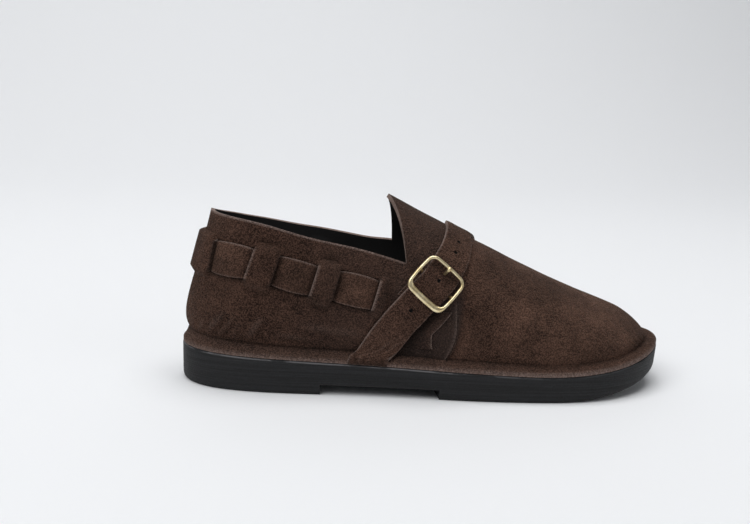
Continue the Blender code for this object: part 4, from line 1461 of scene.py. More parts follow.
def panel_shares(stations, height):
    """Shares of the quarter, the saddle and the vamp at each place."""
    lean = VAMP_LEAN * (height - VAMP_LEAN_HEIGHT)
    vamp = smooth(SADDLE_STATION, SADDLE_STATION + VAMP_BLEND, stations - lean)
    quarter = fading(stations, *QUARTER_BLEND)
    return quarter, (1 - vamp) * (1 - quarter), vamp


def panel_mark(stations, height):
    """Tone of the panels: warm on the vamp and warmer at the toe, partly as painted sheen; grey on the saddle
    and less so on the quarter.
    """
    quarter, saddle, vamp = panel_shares(stations, height)
    warm = VAMP_WARM * vamp + TOE_WARM_AND_SHEEN * smooth(*TOE_SPAN, stations)
    saddle_grey = saddle * (1 - SADDLE_GREY_LOSS * smooth(*SADDLE_GREY_TOP, height))
    return warm - saddle_grey - QUARTER_GREY * quarter * smooth(*QUARTER_GREY_SPAN, stations)


def rub_and_highlight_mark(stations, height, drop, folds):
    """Painted highlights on the saddle's front edge, the sides of the windows, the fold crests and the
    collar's rim.
    """
    edge_gap = np.abs(stations - (SADDLE_STATION - SADDLE_HIGHLIGHT_INSET))
    rub_and_highlight = SADDLE_EDGE_HIGHLIGHT * fading(edge_gap, *SADDLE_HIGHLIGHT_WIDTH) * fading(height, *SADDLE_HIGHLIGHT_TOP)
    woven = band(drop, *WOVEN_BAND)
    for window in WINDOWS:
        for end, highlight in ((window.front, WINDOW_FRONT_HIGHLIGHT), (window.back, WINDOW_BACK_HIGHLIGHT)):
            rub_and_highlight = np.maximum(rub_and_highlight, highlight * woven * fading(np.abs(stations - end), *WINDOW_HIGHLIGHT_WIDTH))
    rub_and_highlight = np.maximum(rub_and_highlight, FOLD_HIGHLIGHT * np.clip(folds / FOLD_CREST, 0, 1))
    rim = (drop >= 0) & (drop < RIM_HIGHLIGHT_WIDTH) & (stations < THROAT_STATION)
    return np.where(rim, 1.0, rub_and_highlight)


def dark_mark(side, stations, height, drop, folds):
    """Shade above the flange, round the windows, on the saddle and its edge, in folds and under the strap."""
    saddle = panel_shares(stations, height)[1]
    toe = 1 - CREASE_TOE_LOSS * smooth(*CREASE_TOE_SPAN, stations)
    below_windows = band(drop - BAND_DROP - SLIT_HALF, *WINDOW_FOOT_BAND) * (1 - soft_bar(stations))
    edge = band(stations - SADDLE_STATION, *SADDLE_EDGE_BAND)
    shades = [
        CREASE_SHADE * toe * fading(height - height[0], *CREASE_SHADE_WIDTH),
        WINDOW_FOOT_SHADE * below_windows,
        SADDLE_SHADE * saddle * fading(height, *SADDLE_SHADE_TOP),
        SADDLE_EDGE_SHADE * edge * fading(height, *SADDLE_EDGE_TOP),
        FOLD_SHADE * np.clip(-folds / FOLD_CREST, 0, 1),
        BAR_CREASE_SHADE * bar_creases(stations, drop) / BAR_CREASE,
    ]
    for window in WINDOWS:
        near = np.clip(1 - np.abs(stations - window.back) / WINDOW_BACK_WIDTH, 0, 1)
        shades.append(WINDOW_BACK_SHADE * band(drop, *WOVEN_BAND) * near)
    if side == LATERAL:
        shades.append(STRAP_SHADE * band(stations, *STRAP_SHADE_BAND) * fading(height, *STRAP_SHADE_TOP))
    return np.maximum.reduce(np.broadcast_arrays(*shades))


def flange_marks(stations, share):
    """Marks of one row of the flange: rubbed towards its edge and shaded in the crease."""
    edge_rub_and_highlight = FLANGE_EDGE_RUB + FLANGE_TOE_RUB * smooth(*FLANGE_TOE_SPAN, stations)
    top_rub = FLANGE_RUB - FLANGE_RUB_LOSS * smooth(*FLANGE_LOSS_SPAN, stations)
    rub_and_highlight = top_rub + edge_rub_and_highlight * share ** FLANGE_RUB_POWER
    dark = np.full(len(stations), FLANGE_SHADE * fading(share, 0.0, FLANGE_SHADE_END))
    return np.stack((np.zeros(len(stations)), rub_and_highlight, dark), -1)


class ShoeUpper:
    """Fine wall of the upper on both sides, with its weave, saddle step, folds and flange."""

    ROW_STEP = 0.9

    def __init__(self, step):
        saddle_edge = (SADDLE_STATION - SADDLE_EDGE / 2, SADDLE_STATION + SADDLE_EDGE / 2)
        self.stations = even_stations([0.0, *WINDOW_ENDS, THROAT_STATION, *saddle_edge, SOLE_LENGTH], step)
        self.drops, self.shares = upper_rows(step * self.ROW_STEP)
        self.collar_row = len(self.drops) - 1
        self.ridge_row = self.collar_row + FLAP_ROWS
        self.throat = int(np.abs(self.stations - THROAT_STATION).argmin())
        self.slits = {int(np.abs(self.stations - end).argmin()) for end in WINDOW_ENDS}
        slit = np.abs(self.drops - BAND_DROP) < SLIT_HALF - SAME_PLACE
        self.slit_rows = {int(row) for row in np.flatnonzero(slit & (self.shares == 0))}
        self.sheet = Sheet()
        self.sides = {side: self.side_grid(side) for side in (LATERAL, MEDIAL)}

    def side_places(self, side):
        """Angles and lifts of one side: the quarter by drops, the rest by the lifts of the throat."""
        stations = self.stations[None, :]
        quarter = self.stations < THROAT_STATION
        angle, lift = quarter_place(side, np.minimum(stations, THROAT_STATION),
                                    self.drops[:, None], self.shares[:, None])
        throat_lift = lift[:, self.throat]
        start = throat_lift[self.collar_row]
        flap_lift = start + (1 - start) * np.arange(1, FLAP_ROWS + 1) / FLAP_ROWS
        rows = np.concatenate((throat_lift, flap_lift))
        shape = (len(rows), len(self.stations))
        full_lift = np.broadcast_to(rows[:, None], shape).copy()
        full_angle = np.broadcast_to(angle_of(stations), shape)
        height = wall(side, full_angle, full_lift)[..., 2]
        near = fading(np.abs(stations - SADDLE_STATION), 0.0, SADDLE_SPREAD)
        bowed = angle_of(stations - saddle_bow(height) * near)
        full_angle = np.where(quarter[None, :], full_angle, bowed)
        full_lift[:len(lift), quarter] = lift[:, quarter]
        full_angle[:len(lift), quarter] = angle[:, quarter]
        return full_angle, full_lift

    def side_grid(self, side):
        """Outer and inner places of one side, with its marks and its flange."""
        stations = self.stations[None, :]
        angle, lift = self.side_places(side)
        place = wall(side, angle, lift)
        normal = skin_frame(side, angle, lift)[2]
        drop = np.concatenate((self.drops + self.shares * LOWER_WALL, np.full(FLAP_ROWS, FLAP_DROP)))[:, None]
        relief, folds = wall_relief(side, place, stations, drop)
        height = place[..., 2]
        marks = np.stack((panel_mark(stations, height), rub_and_highlight_mark(stations, height, drop, folds),
                          dark_mark(side, stations, height, drop, folds)), -1)
        rise = BAR_PROUD + BAR_SWELL * smooth(*BAR_SWELL_SPAN, stations) - bar_crown(stations)
        inside = np.zeros(drop.shape, bool)
        inside[sorted(self.slit_rows)] = True
        grids = {}
        for name in ("behind", "ahead"):
            hard = bar_share(stations, name)
            share = np.where(inside, hard, soft_bar(stations))
            sunk = np.where(inside, (1 - hard) * WINDOW_SUNK, 0.0)
            proud = rise * bar_profile(stations, drop) * share + sunk + relief
            grids[name] = (place + normal * proud[..., None],
                           place + normal * (proud - WALL)[..., None])
        return {"grids": grids, "marks": marks, "flange": self.flange_grid(side, angle[0])}

    def flange_grid(self, side, angle):
        """Rows of the flange from the crease outwards, down to the foot of its edge."""
        inner_x, inner_y = outline(side, angle, SHAPE["flange"](angle) + WALL)
        crease = SHAPE["crease"](angle)
        behind = SADDLE_STATION - self.stations
        lap = SADDLE_LAP * np.where(behind < 0, 0.0, np.clip(1 - behind / SADDLE_LAP_LENGTH, 0, 1))
        rows = []
        for number, row in enumerate(FLANGE_ROWS, start=1):
            top = flange(side, angle, row.share)
            arch = math.sin(math.pi * min(row.share, RIPPLE_END))
            ripple = RIPPLE_HEIGHT * waves(top, RIPPLE_SEED, RIPPLE_SIZES) * arch
            top[:, 2] += ripple + lap * (row.rounding == 0) - row.rounding
            rise = SEAT_GAP + (crease - SEAT_GAP) * (1 - number / (len(FLANGE_ROWS) + 1))
            inner = np.stack((inner_x, inner_y, sole_top(inner_x) + rise), -1)
            rows.append((top, inner, flange_marks(self.stations, row.share)))
        x, y = outline(side, angle, FLANGE_TRIM)
        foot = np.stack((x, y, sole_top(x) + SEAT_GAP), -1)
        inner = np.stack((inner_x, inner_y, sole_top(inner_x) + SEAT_GAP), -1)
        # The foot of the flange's edge: rubbed, and lighter still with a painted highlight
        rows.append((foot, inner, rows[-1][2] + np.array((0.0, FLANGE_FOOT_RUB_AND_HIGHLIGHT, 0.0))))
        return rows

    def corner(self, side, column, row, ahead):
        """Number of a point; slits have one on each side, heel, toe and ridge are shared by both sides."""
        data = self.sides[side]
        shared = column in (0, len(self.stations) - 1) or row == self.ridge_row
        cut = column in self.slits and row in self.slit_rows
        key = (0 if shared else side, column, row, ahead and cut)
        if key in self.sheet.places:
            return self.sheet.places[key]
        if row < 0:
            outer, inner, marks = data["flange"][-row - 1]
            return self.sheet.point(key, outer[column], inner[column], marks[column])
        outer, inner = data["grids"]["ahead" if ahead else "behind"]
        return self.sheet.point(key, outer[row, column], inner[row, column], data["marks"][row, column])

    def closed(self):
        """Closed wall over both sides, left open behind the throat above the collar."""
        lowest = -len(FLANGE_ROWS) - 1
        for side in (LATERAL, MEDIAL):
            for column in range(len(self.stations) - 1):
                highest = self.collar_row if column < self.throat else self.ridge_row
                for row in range(lowest, highest):
                    quad = (self.corner(side, column, row, True),
                            self.corner(side, column + 1, row, False),
                            self.corner(side, column + 1, row + 1, False),
                            self.corner(side, column, row + 1, True))
                    self.sheet.quad(quad, side == MEDIAL)
        return self.sheet.closed()


def edge_station(height):
    """Station of the quarter's front edge by height."""
    return np.interp(height, [row.height for row in QUARTER_EDGE], [row.station for row in QUARTER_EDGE])


def quarter_front():
    """Thin front of the outer quarter, lapped over the saddle beside the strap."""
    heights = np.linspace(QUARTER_FRONT_FOOT, QUARTER_EDGE[-1].height, QUARTER_FRONT_ROWS)
    shares = np.linspace(0, 1, QUARTER_FRONT_LANES)
    back = QUARTER_FRONT_BACK + (heights[:, None] - QUARTER_FRONT_BACK_HEIGHT) * QUARTER_FRONT_LEAN
    stations = back + (edge_station(heights)[:, None] - back) * shares
    angles = angle_of(stations)
    lifts = lift_at(LATERAL, angles, np.broadcast_to(heights[:, None], angles.shape))
    place = wall(LATERAL, angles, lifts)
    normal = skin_frame(LATERAL, angles, lifts)[2]
    lifted = QUARTER_FRONT_LIFT * smooth(*QUARTER_FRONT_LIFT_SPAN, shares)
    proud = QUARTER_FRONT_SEAT + saddle_proud(stations, place[..., 2]) + lifted
    outer = place + normal * proud[..., None]
    # Grey tone with painted shade under the strap, a painted highlight on the front edge and painted shade
    # towards the strap
    grey = np.full(len(shares), QUARTER_FRONT_GREY_AND_SHADE)
    marks = np.stack((grey, QUARTER_FRONT_HIGHLIGHT * (shares == 1), fading(shares, *QUARTER_FRONT_SHADE)), -1)
    sheet = Sheet()
    sheet.lay(outer, outer - normal * QUARTER_FRONT_THICKNESS,
              np.broadcast_to(marks, (len(heights), *marks.shape)), turned=True)
    return sheet.closed()


# Straps


def heel_strap_sheet(step):
    """Band round the heel: swelled in the windows and held flat under the bars."""
    stations = even_stations([0.0, *WINDOW_ENDS, WINDOW_ENDS[-1] + HEEL_STRAP_END], step)
    offsets = np.linspace(-1, 1, HEEL_STRAP_LANES)
    offsets = np.sign(offsets) * np.abs(offsets) ** HEEL_STRAP_CROWDING
    swell = np.zeros((len(stations), 1))
    for window in WINDOWS:
        share = np.clip((stations - window.back) / (window.front - window.back), 0, 1)
        swell[:, 0] += np.sin(math.pi * share).clip(0) ** HEEL_STRAP_FULLNESS
    bow = 1 + HEEL_STRAP_BOW * swell - HEEL_STRAP_PINCH * (1 - swell)
    drops = BAND_DROP - BAND_HALF * bow * offsets
    crown = 1 - HEEL_STRAP_EDGE_FALL * np.abs(offsets) ** HEEL_STRAP_EDGE_POWER
    # Painted highlight along the top and bottom edges, and painted shade where the strap goes under the bars
    edge_rub_and_highlight = np.where(offsets > 0, HEEL_STRAP_TOP_HIGHLIGHT, HEEL_STRAP_FOOT_HIGHLIGHT)
    highlight = edge_rub_and_highlight * smooth(*HEEL_STRAP_EDGE, np.abs(offsets))
    shade = HEEL_STRAP_SHADE * (1 - swell) ** 2
    marks = np.stack(np.broadcast_arrays(HEEL_STRAP_WARM, highlight, shade), -1)
    sheet = Sheet()
    for side in (LATERAL, MEDIAL):
        angle, lift = quarter_place(side, stations[:, None], drops, 0.0)
        place = wall(side, angle, lift)
        normal = skin_frame(side, angle, lift)[2]
        face = HEEL_STRAP_FACE - HEEL_STRAP_SINK * (1 - swell) + HEEL_STRAP_SWELL * swell * crown
        face = face + HEEL_STRAP_WAVE * swell * waves(place, HEEL_STRAP_SEED, HEEL_STRAP_WAVES)
        back = face - HEEL_STRAP_THICKNESS - HEEL_STRAP_BACK_SWELL * swell
        sheet.lay(place + normal * face[..., None], place + normal * back[..., None], marks, side == MEDIAL,
                  key=lambda column, lane, side=side: (0 if column == 0 else side, column, lane))
    return sheet.closed()


def strap_wrinkles(length, offset):
    """Fine wrinkles low on the strap, where it is sewn into the flange."""
    across = WRINKLE_LEAN[0] * length + WRINKLE_LEAN[1] * offset
    sway = WRINKLE_SWAY * np.sin(length * WRINKLE_SWAY_RATE)
    lines = np.sin(across * 2 * math.pi / WRINKLE_PITCH + sway)
    spread = np.sin(length * WRINKLE_PATCH_RATES[0] + offset * WRINKLE_PATCH_RATES[1])
    patches = 1 - WRINKLE_PATCHES + WRINKLE_PATCHES * spread
    return WRINKLE_HEIGHT * fading(length, *WRINKLE_END) * lines * patches


def eased(values, rows=14, passes=24):
    """Rows of the strap's foot drawn smoothly over the crease above the flange."""
    values = values.copy()
    for _ in range(passes):
        values[1:rows] = (values[:rows - 1] + 2 * values[1:rows] + values[2:rows + 1]) / 4
    return values


def instep_strap_sheet(route, width, thickness):
    """Strap from the outer flange through the buckle and over the instep to the inner flange."""
    lengths = np.linspace(route.lengths[0], route.lengths[-1], STRAP_ROWS)
    offsets = np.sin(np.linspace(-math.pi / 2, math.pi / 2, STRAP_LANES)) * width / 2
    places, normals = (eased(values) for values in strip_grid(route, lengths, offsets))
    length, offset = np.meshgrid(lengths, offsets, indexing="ij")
    share = np.abs(offset) / (width / 2)
    wrinkles = strap_wrinkles(length, offset)
    back = STRAP_GAP + strap_hump(length)
    face = back + thickness * (1 - STRAP_EDGE_FALL * share ** STRAP_EDGE_POWER) + wrinkles
    face = face + STRAP_WAVE * waves(places, STRAP_SEED, STRAP_WAVES)
    level = normals[0] * np.array((1.0, 1.0, 0.0))
    level /= np.linalg.norm(level, axis=-1, keepdims=True)
    normals[0] = FOOT_TURN[0] * level + FOOT_TURN[1] * np.array((0.0, 0.0, 1.0))
    face[0] = FOOT_FACE
    # Painted highlight along the edges, more at the rear, and on wrinkle crests; painted shade in the troughs
    # and at the sewn foot
    highlight = smooth(*STRAP_EDGE, share) * np.where(offset > 0, STRAP_REAR_HIGHLIGHT, STRAP_FRONT_HIGHLIGHT)
    highlight = np.maximum(highlight, STRAP_WRINKLE_HIGHLIGHT * np.clip(wrinkles, 0, 1))
    sewn = STRAP_SEWN_SHADE * fading(length - lengths[0], 0.0, STRAP_SEWN_LENGTH)
    shade = np.maximum(sewn, STRAP_WRINKLE_SHADE * np.clip(-wrinkles, 0, 1))
    marks = np.stack(np.broadcast_arrays(STRAP_WARM, highlight, shade), -1)
    return strip_sheet((places, normals), face, back, marks)


def tab_sheet(route):
    """Short tab under the strap, from the buckle's middle bar towards the sole."""
    lengths = np.linspace(TAB_START, TAB_END, TAB_ROWS)
    offsets = TAB_OFFSET + np.linspace(-TAB_WIDTH / 2, TAB_WIDTH / 2, TAB_LANES)
    back = np.full((len(lengths), len(offsets)), STRAP_GAP)
    marks = np.broadcast_to((TAB_GREY, TAB_RUB, 0.0), (*back.shape, len(MARK_NAMES)))
    return strip_sheet(strip_grid(route, lengths, offsets), back + TAB_THICKNESS, back, marks)


# Buckle


def buckle_places(route, points):
    """Points given along, across and over the upper at the buckle, in the shoe's frame."""
    _side, _angle, _lift, origin, along, across, normal = route.at(0.0)
    return origin + points[:, :1] * along + points[:, 1:2] * across + points[:, 2:] * normal


def buckle_height(along):
    """Height of the frame over the upper: it tilts down towards the top of the strap."""
    share = along / BUCKLE_ALONG + 0.5
    return BUCKLE_HEIGHT_LOW + (BUCKLE_HEIGHT_HIGH - BUCKLE_HEIGHT_LOW) * share


def buckle_path(corner_steps=10, side_steps=8):
    """Rounded rectangle of the buckle's rod, with sides that bow out a little."""
    arcs = []
    for number, (along, across) in enumerate(((1, 1), (-1, 1), (-1, -1), (1, -1))):
        turns = math.pi / 2 * (number + np.linspace(0, 1, corner_steps + 1))
        middle = (along * (BUCKLE_ALONG / 2 - BUCKLE_CORNER), across * (BUCKLE_ACROSS / 2 - BUCKLE_CORNER))
        arcs.append(middle + BUCKLE_CORNER * np.stack((np.cos(turns), np.sin(turns)), -1))
    path = []
    for number, arc in enumerate(arcs):
        path += list(arc)
        after = arcs[(number + 1) % len(arcs)][0]
        turn = math.pi / 2 * (number + 1)
        out = np.array((math.cos(turn), math.sin(turn)))
        for share in np.linspace(0, 1, side_steps + 1)[1:-1]:
            path.append(arc[-1] + (after - arc[-1]) * share + out * BUCKLE_BOW * math.sin(math.pi * share))
    return np.array([(x, y, buckle_height(x)) for x, y in path])


def middle_bar_path():
    """Middle bar of the frame, bent down at its ends to pass under the strap."""
    side = BUCKLE_ACROSS / 2
    bend = STRAP_WIDTH / 2 + SEAT_GAP
    half = [
        (0.0, BAR_HEIGHT),
        (bend - BAR_BEND_IN, BAR_HEIGHT),
        (bend + BAR_BEND_OUT, BAR_HEIGHT + BAR_BEND_RISE),
        (side, buckle_height(0.0)),
    ]
    across = [(-place, height) for place, height in reversed(half[1:])] + half
    return [(0.0, place, height) for place, height in across]


def prong_path():
    """Pin from the middle bar up through the strap's hole and over the top of the frame."""
    rest = BUCKLE_HEIGHT_HIGH + BUCKLE_ROD / 2 + PRONG_ROD / 2 + PRONG_SEAT
    over = [(along, rest) for along in PRONG_REST]
    knots = np.array((*PRONG_RISE, *over, (PRONG_END, rest - PRONG_DROP)))
    along = np.linspace(knots[0, 0], knots[-1, 0], PRONG_STEPS)
    height = spline(knots[:, 0], knots[:, 1])(along)
    return np.stack((along, np.zeros_like(along), height), -1)


# Stitches


def stitch_shape(middle, direction, normal, length, radius):
    """One short thread, sunk into the leather at both ends."""
    shares = np.linspace(-1, 1, STITCH_RINGS)
    rise = radius * (STITCH_RISE - STITCH_SINK * shares ** 2)
    path = middle + np.outer(shares * length / 2, direction) + np.outer(rise, normal)
    aside = np.cross(direction, normal)
    turns = np.linspace(0, 2 * math.pi, STITCH_SIDES, endpoint=False)[:, None]
    round_thread = np.cos(turns) * aside + np.sin(turns) * normal
    girths = radius * (1 - STITCH_TAPER * shares ** STITCH_TAPER_POWER)
    points = np.concatenate([place + girth * round_thread for place, girth in zip(path, girths)])
    faces = []
    for low in range(0, len(points) - STITCH_SIDES, STITCH_SIDES):
        for step in range(STITCH_SIDES):
            other = (step + 1) % STITCH_SIDES
            faces.append((low + step, low + other, low + STITCH_SIDES + other, low + STITCH_SIDES + step))
    faces.append(tuple(reversed(range(STITCH_SIDES))))
    faces.append(tuple(range(len(points) - STITCH_SIDES, len(points))))
    return points, faces


def wall_line(side, heights, station_of, proud):
    """Points, directions and normals of a line on the wall, given by height."""
    stations = station_of(heights)
    angles = angle_of(stations)
    lifts = lift_at(side, angles, heights)
    place = wall(side, angles, lifts)
    normal = skin_frame(side, angles, lifts)[2]
    place = place + normal * proud(stations, heights)[:, None]
    direction = np.gradient(place, axis=0)
    direction /= np.linalg.norm(direction, axis=-1, keepdims=True)
    return place, direction, normal


# Panel's properties


def length_setting(name, description, value):
    """Length property with a default in millimetres."""
    return FloatProperty(name=name, description=description, default=value * MM, min=0.0,
                         unit="LENGTH", subtype="DISTANCE", precision=5)


class ShoeSizes(bpy.types.PropertyGroup):
    """Sizes of the shoe's dressing."""

    mesh_step: length_setting("Mesh step", "Spacing of the mesh lines on the leather", 1.5)
    strap_width: length_setting("Strap width", "Width of the instep strap", STRAP_WIDTH)
    strap_thickness: length_setting("Strap thickness", "Thickness of the instep strap", STRAP_THICKNESS)
    hole_radius: length_setting("Hole radius", "Radius of the punched holes in the strap", 0.95)
    buckle_rod: length_setting("Buckle rod", "Thickness of the buckle's frame", BUCKLE_ROD)
    stitch_pitch: length_setting("Stitch pitch", "Length from one stitch to the next", 2.5)
    thread_radius: length_setting("Thread radius", "Half thickness of the sewing thread", 0.3)
    floor_size: length_setting("Floor size", "Half width of the studio floor", 3000.0)


def colour_setting(name, description, value):
    """Colour property with its default."""
    return FloatVectorProperty(name=name, description=description, default=value, size=3,
                               subtype="COLOR", min=0.0, max=1.0)


class ShoeColours(bpy.types.PropertyGroup):
    """Colours of the shoe and its stage."""

    leather_dark: colour_setting("Leather, dark", "Darkest tone of the nap", (0.0105, 0.0046, 0.0030))
    leather_light: colour_setting("Leather, light", "Lightest tone of the nap", (0.090, 0.0482, 0.0340))
    leather_warm: colour_setting("Leather, warm", "Tone of the vamp and toe", (0.082, 0.050, 0.036))
    leather_grey: colour_setting("Leather, grey", "Tone of the saddle flap", (0.036, 0.0278, 0.0258))
    # Also the colour that rubbed edges and painted highlights on the nap lean towards
    cut_edge: colour_setting("Cut edge", "Raw edge of the leather", (0.25, 0.182, 0.158))
    # Colour of the painted shade in creases and folds, round the windows, at the saddle and under the straps
    crease: colour_setting("Crease", "Depth of creases and folds", (0.0055, 0.0035, 0.0028))
    lining: colour_setting("Lining", "Inside of the upper", (0.009, 0.008, 0.0078))
    rubber: colour_setting("Rubber", "Sole", (0.0094, 0.0096, 0.0110))
    # Colour of the painted highlight along the sole's upper edge
    rubber_highlight: colour_setting("Rubber edge", "Rubbed upper edge of the sole", (0.135, 0.13, 0.135))
    brass: colour_setting("Brass", "Buckle", (0.92, 0.80, 0.52))
    thread: colour_setting("Thread", "Stitches", (0.070, 0.044, 0.034))
    floor: colour_setting("Floor", "Studio floor", (0.836, 0.846, 0.862))


# Operators


class SHOE_OT_upper(bpy.types.Operator):
    """Make the hollow upper with its woven quarters, flap, vamp and flange"""

    bl_idname = "shoe.upper"
    bl_label = "Upper"

    def execute(self, context):
        step = context.scene.shoe_sizes.mesh_step / MM
        leather_piece(context, "shoe_upper", ShoeUpper(step).closed(), ("upper",))
        leather_piece(context, "quarter_front", quarter_front(), ())
        return {"FINISHED"}


class SHOE_OT_straps(bpy.types.Operator):
    """Make the woven heel strap, the instep strap with its holes, and the buckle's tab"""

    bl_idname = "shoe.straps"
    bl_label = "Straps"

    HOLE_HEIGHTS = (0.5, 4.0)
    HOLE_SIDES = 20
    HOLE_UPRIGHT = np.array((0.3, 0.2, 0.93))

    def execute(self, context):
        sizes = context.scene.shoe_sizes
        leather_piece(context, "woven_heel_strap", heel_strap_sheet(sizes.mesh_step / MM), ("heel_strap",))
        route = Route()
        sheet = instep_strap_sheet(route, sizes.strap_width / MM, sizes.strap_thickness / MM)
        strap = leather_piece(context, "buckled_strap", sheet, ("instep_strap",))
        self.punch(context, strap, route, sizes.hole_radius / MM)
        leather_piece(context, "strap_tab", tab_sheet(route), ("buckle_tab",))
        return {"FINISHED"}

    def punch(self, context, strap, route, radius):
        """Cut the holes into the strap's face, leaving a thin floor."""
        holes = []
        for length in STRAP_HOLES:
            origin, normal = route.beside(length, 0.0)
            height = STRAP_GAP + float(strap_hump(length))
            path = [origin + normal * (height + rise) for rise in self.HOLE_HEIGHTS]
            girths = [(radius, radius)] * len(path)
            holes.append(tube(path, girths, False, self.HOLE_UPRIGHT, self.HOLE_SIDES))
        points, faces = joined(holes)
        mesh = bpy.data.meshes.new("hole_cutter")
        mesh.from_pydata([tuple(place) for place in (points - ORIGIN) * MM], [], faces)
        mesh.materials.append(finish(context, "lining"))
        cutter = bpy.data.objects.new("hole_cutter", mesh)
        context.scene.collection.objects.link(cutter)
        cut = strap.modifiers.new("holes", "BOOLEAN")
        cut.operation = "DIFFERENCE"
        cut.solver = "EXACT"
        cut.object = cutter
        context.view_layer.update()
        solid = bpy.data.meshes.new_from_object(strap.evaluated_get(context.evaluated_depsgraph_get()))
        strap.modifiers.clear()
        strap.data = solid
        bpy.data.objects.remove(cutter, do_unlink=True)


class SHOE_OT_buckle(bpy.types.Operator):
    """Make the brass buckle frame and its prong"""

    bl_idname = "shoe.buckle"
    bl_label = "Buckle"

    ALONG = np.array((1.0, 0.0, 0.0))
    UPRIGHT = np.array((0.0, 0.0, 1.0))
    SHARP_ANGLE = 60

    def execute(self, context):
        route = Route()
        rod = context.scene.shoe_sizes.buckle_rod / MM / 2
        frame_and_bar = joined((self.rod_frame(rod), self.middle_bar()))
        self.brass(context, "brass_buckle", route, frame_and_bar, "buckle_frame")
        self.brass(context, "brass_prong", route, self.prong(), "buckle_prong")
        return {"FINISHED"}

    def brass(self, context, name, route, shape, node):
        points, faces = shape
        shoe_object(name, buckle_places(route, points), faces, [finish(context, "brass")],
                    (node,), sharp=self.SHARP_ANGLE)

    def rod_frame(self, rod):
        """Frame of oval rod, flattened and widened at its low end."""
        path = buckle_path()
        low = fading(path[:, 0], *BUCKLE_LOW_END)
        wide = rod * np.interp(low, (0, 1), ROD_WIDTH)
        tall = rod * np.interp(low, (0, 1), ROD_HEIGHT)
        return tube(path, np.stack((wide, tall), -1), True, self.UPRIGHT)

    def middle_bar(self):
        path = middle_bar_path()
        return tube(path, [(BAR_ROD / 2, BAR_ROD / 2)] * len(path), False, self.ALONG)

    def prong(self):
        """Pin that swells to a rounded nub at its tip."""
        path = prong_path()
        shares = np.linspace(0, 1, len(path))
        nub = 1 + PRONG_NUB * smooth(*PRONG_NUB_SPAN, shares)
        tip = np.clip((shares - PRONG_TIP) / (1 - PRONG_TIP), 0, 1)
        girths = PRONG_ROD / 2 * nub * np.sqrt(1 - PRONG_TIP_CLOSING * tip ** 2)
        return tube(path, np.stack((girths, girths), -1), False, self.UPRIGHT)


class SHOE_OT_stitches(bpy.types.Operator):
    """Sew the saddle's front edge and the foot of the quarter's front"""

    bl_idname = "shoe.stitches"
    bl_label = "Stitches"

    def execute(self, context):
        sizes = context.scene.shoe_sizes
        pitch = sizes.stitch_pitch / MM
        radius = sizes.thread_radius / MM
        saddle_heights = np.arange(*SADDLE_STITCHES, pitch)
        quarter_heights = np.arange(*QUARTER_STITCHES, pitch)
        rows = [
            wall_line(LATERAL, saddle_heights, self.saddle_line, self.saddle_rise),
            wall_line(MEDIAL, saddle_heights, self.saddle_line, self.saddle_rise),
            wall_line(LATERAL, quarter_heights, self.quarter_line, self.quarter_rise),
        ]
        stitches = []
        for row in rows:
            stitches += [stitch_shape(*place, pitch * STITCH_SHARE, radius) for place in zip(*row)]
        points, faces = joined(stitches)
        shoe_object("saddle_stitches", points, faces, [finish(context, "thread")], ())
        return {"FINISHED"}

    @staticmethod
    def saddle_line(heights):
        return SADDLE_STATION - SADDLE_STITCH_INSET - saddle_bow(heights)

    @staticmethod
    def saddle_rise(stations, heights):
        return saddle_proud(stations + saddle_bow(heights), heights)

    @staticmethod
    def quarter_line(heights):
        return edge_station(heights) - QUARTER_STITCH_INSET

    @staticmethod
    def quarter_rise(stations, heights):
        return QUARTER_FRONT_SEAT + QUARTER_FRONT_LIFT + saddle_proud(stations, heights)


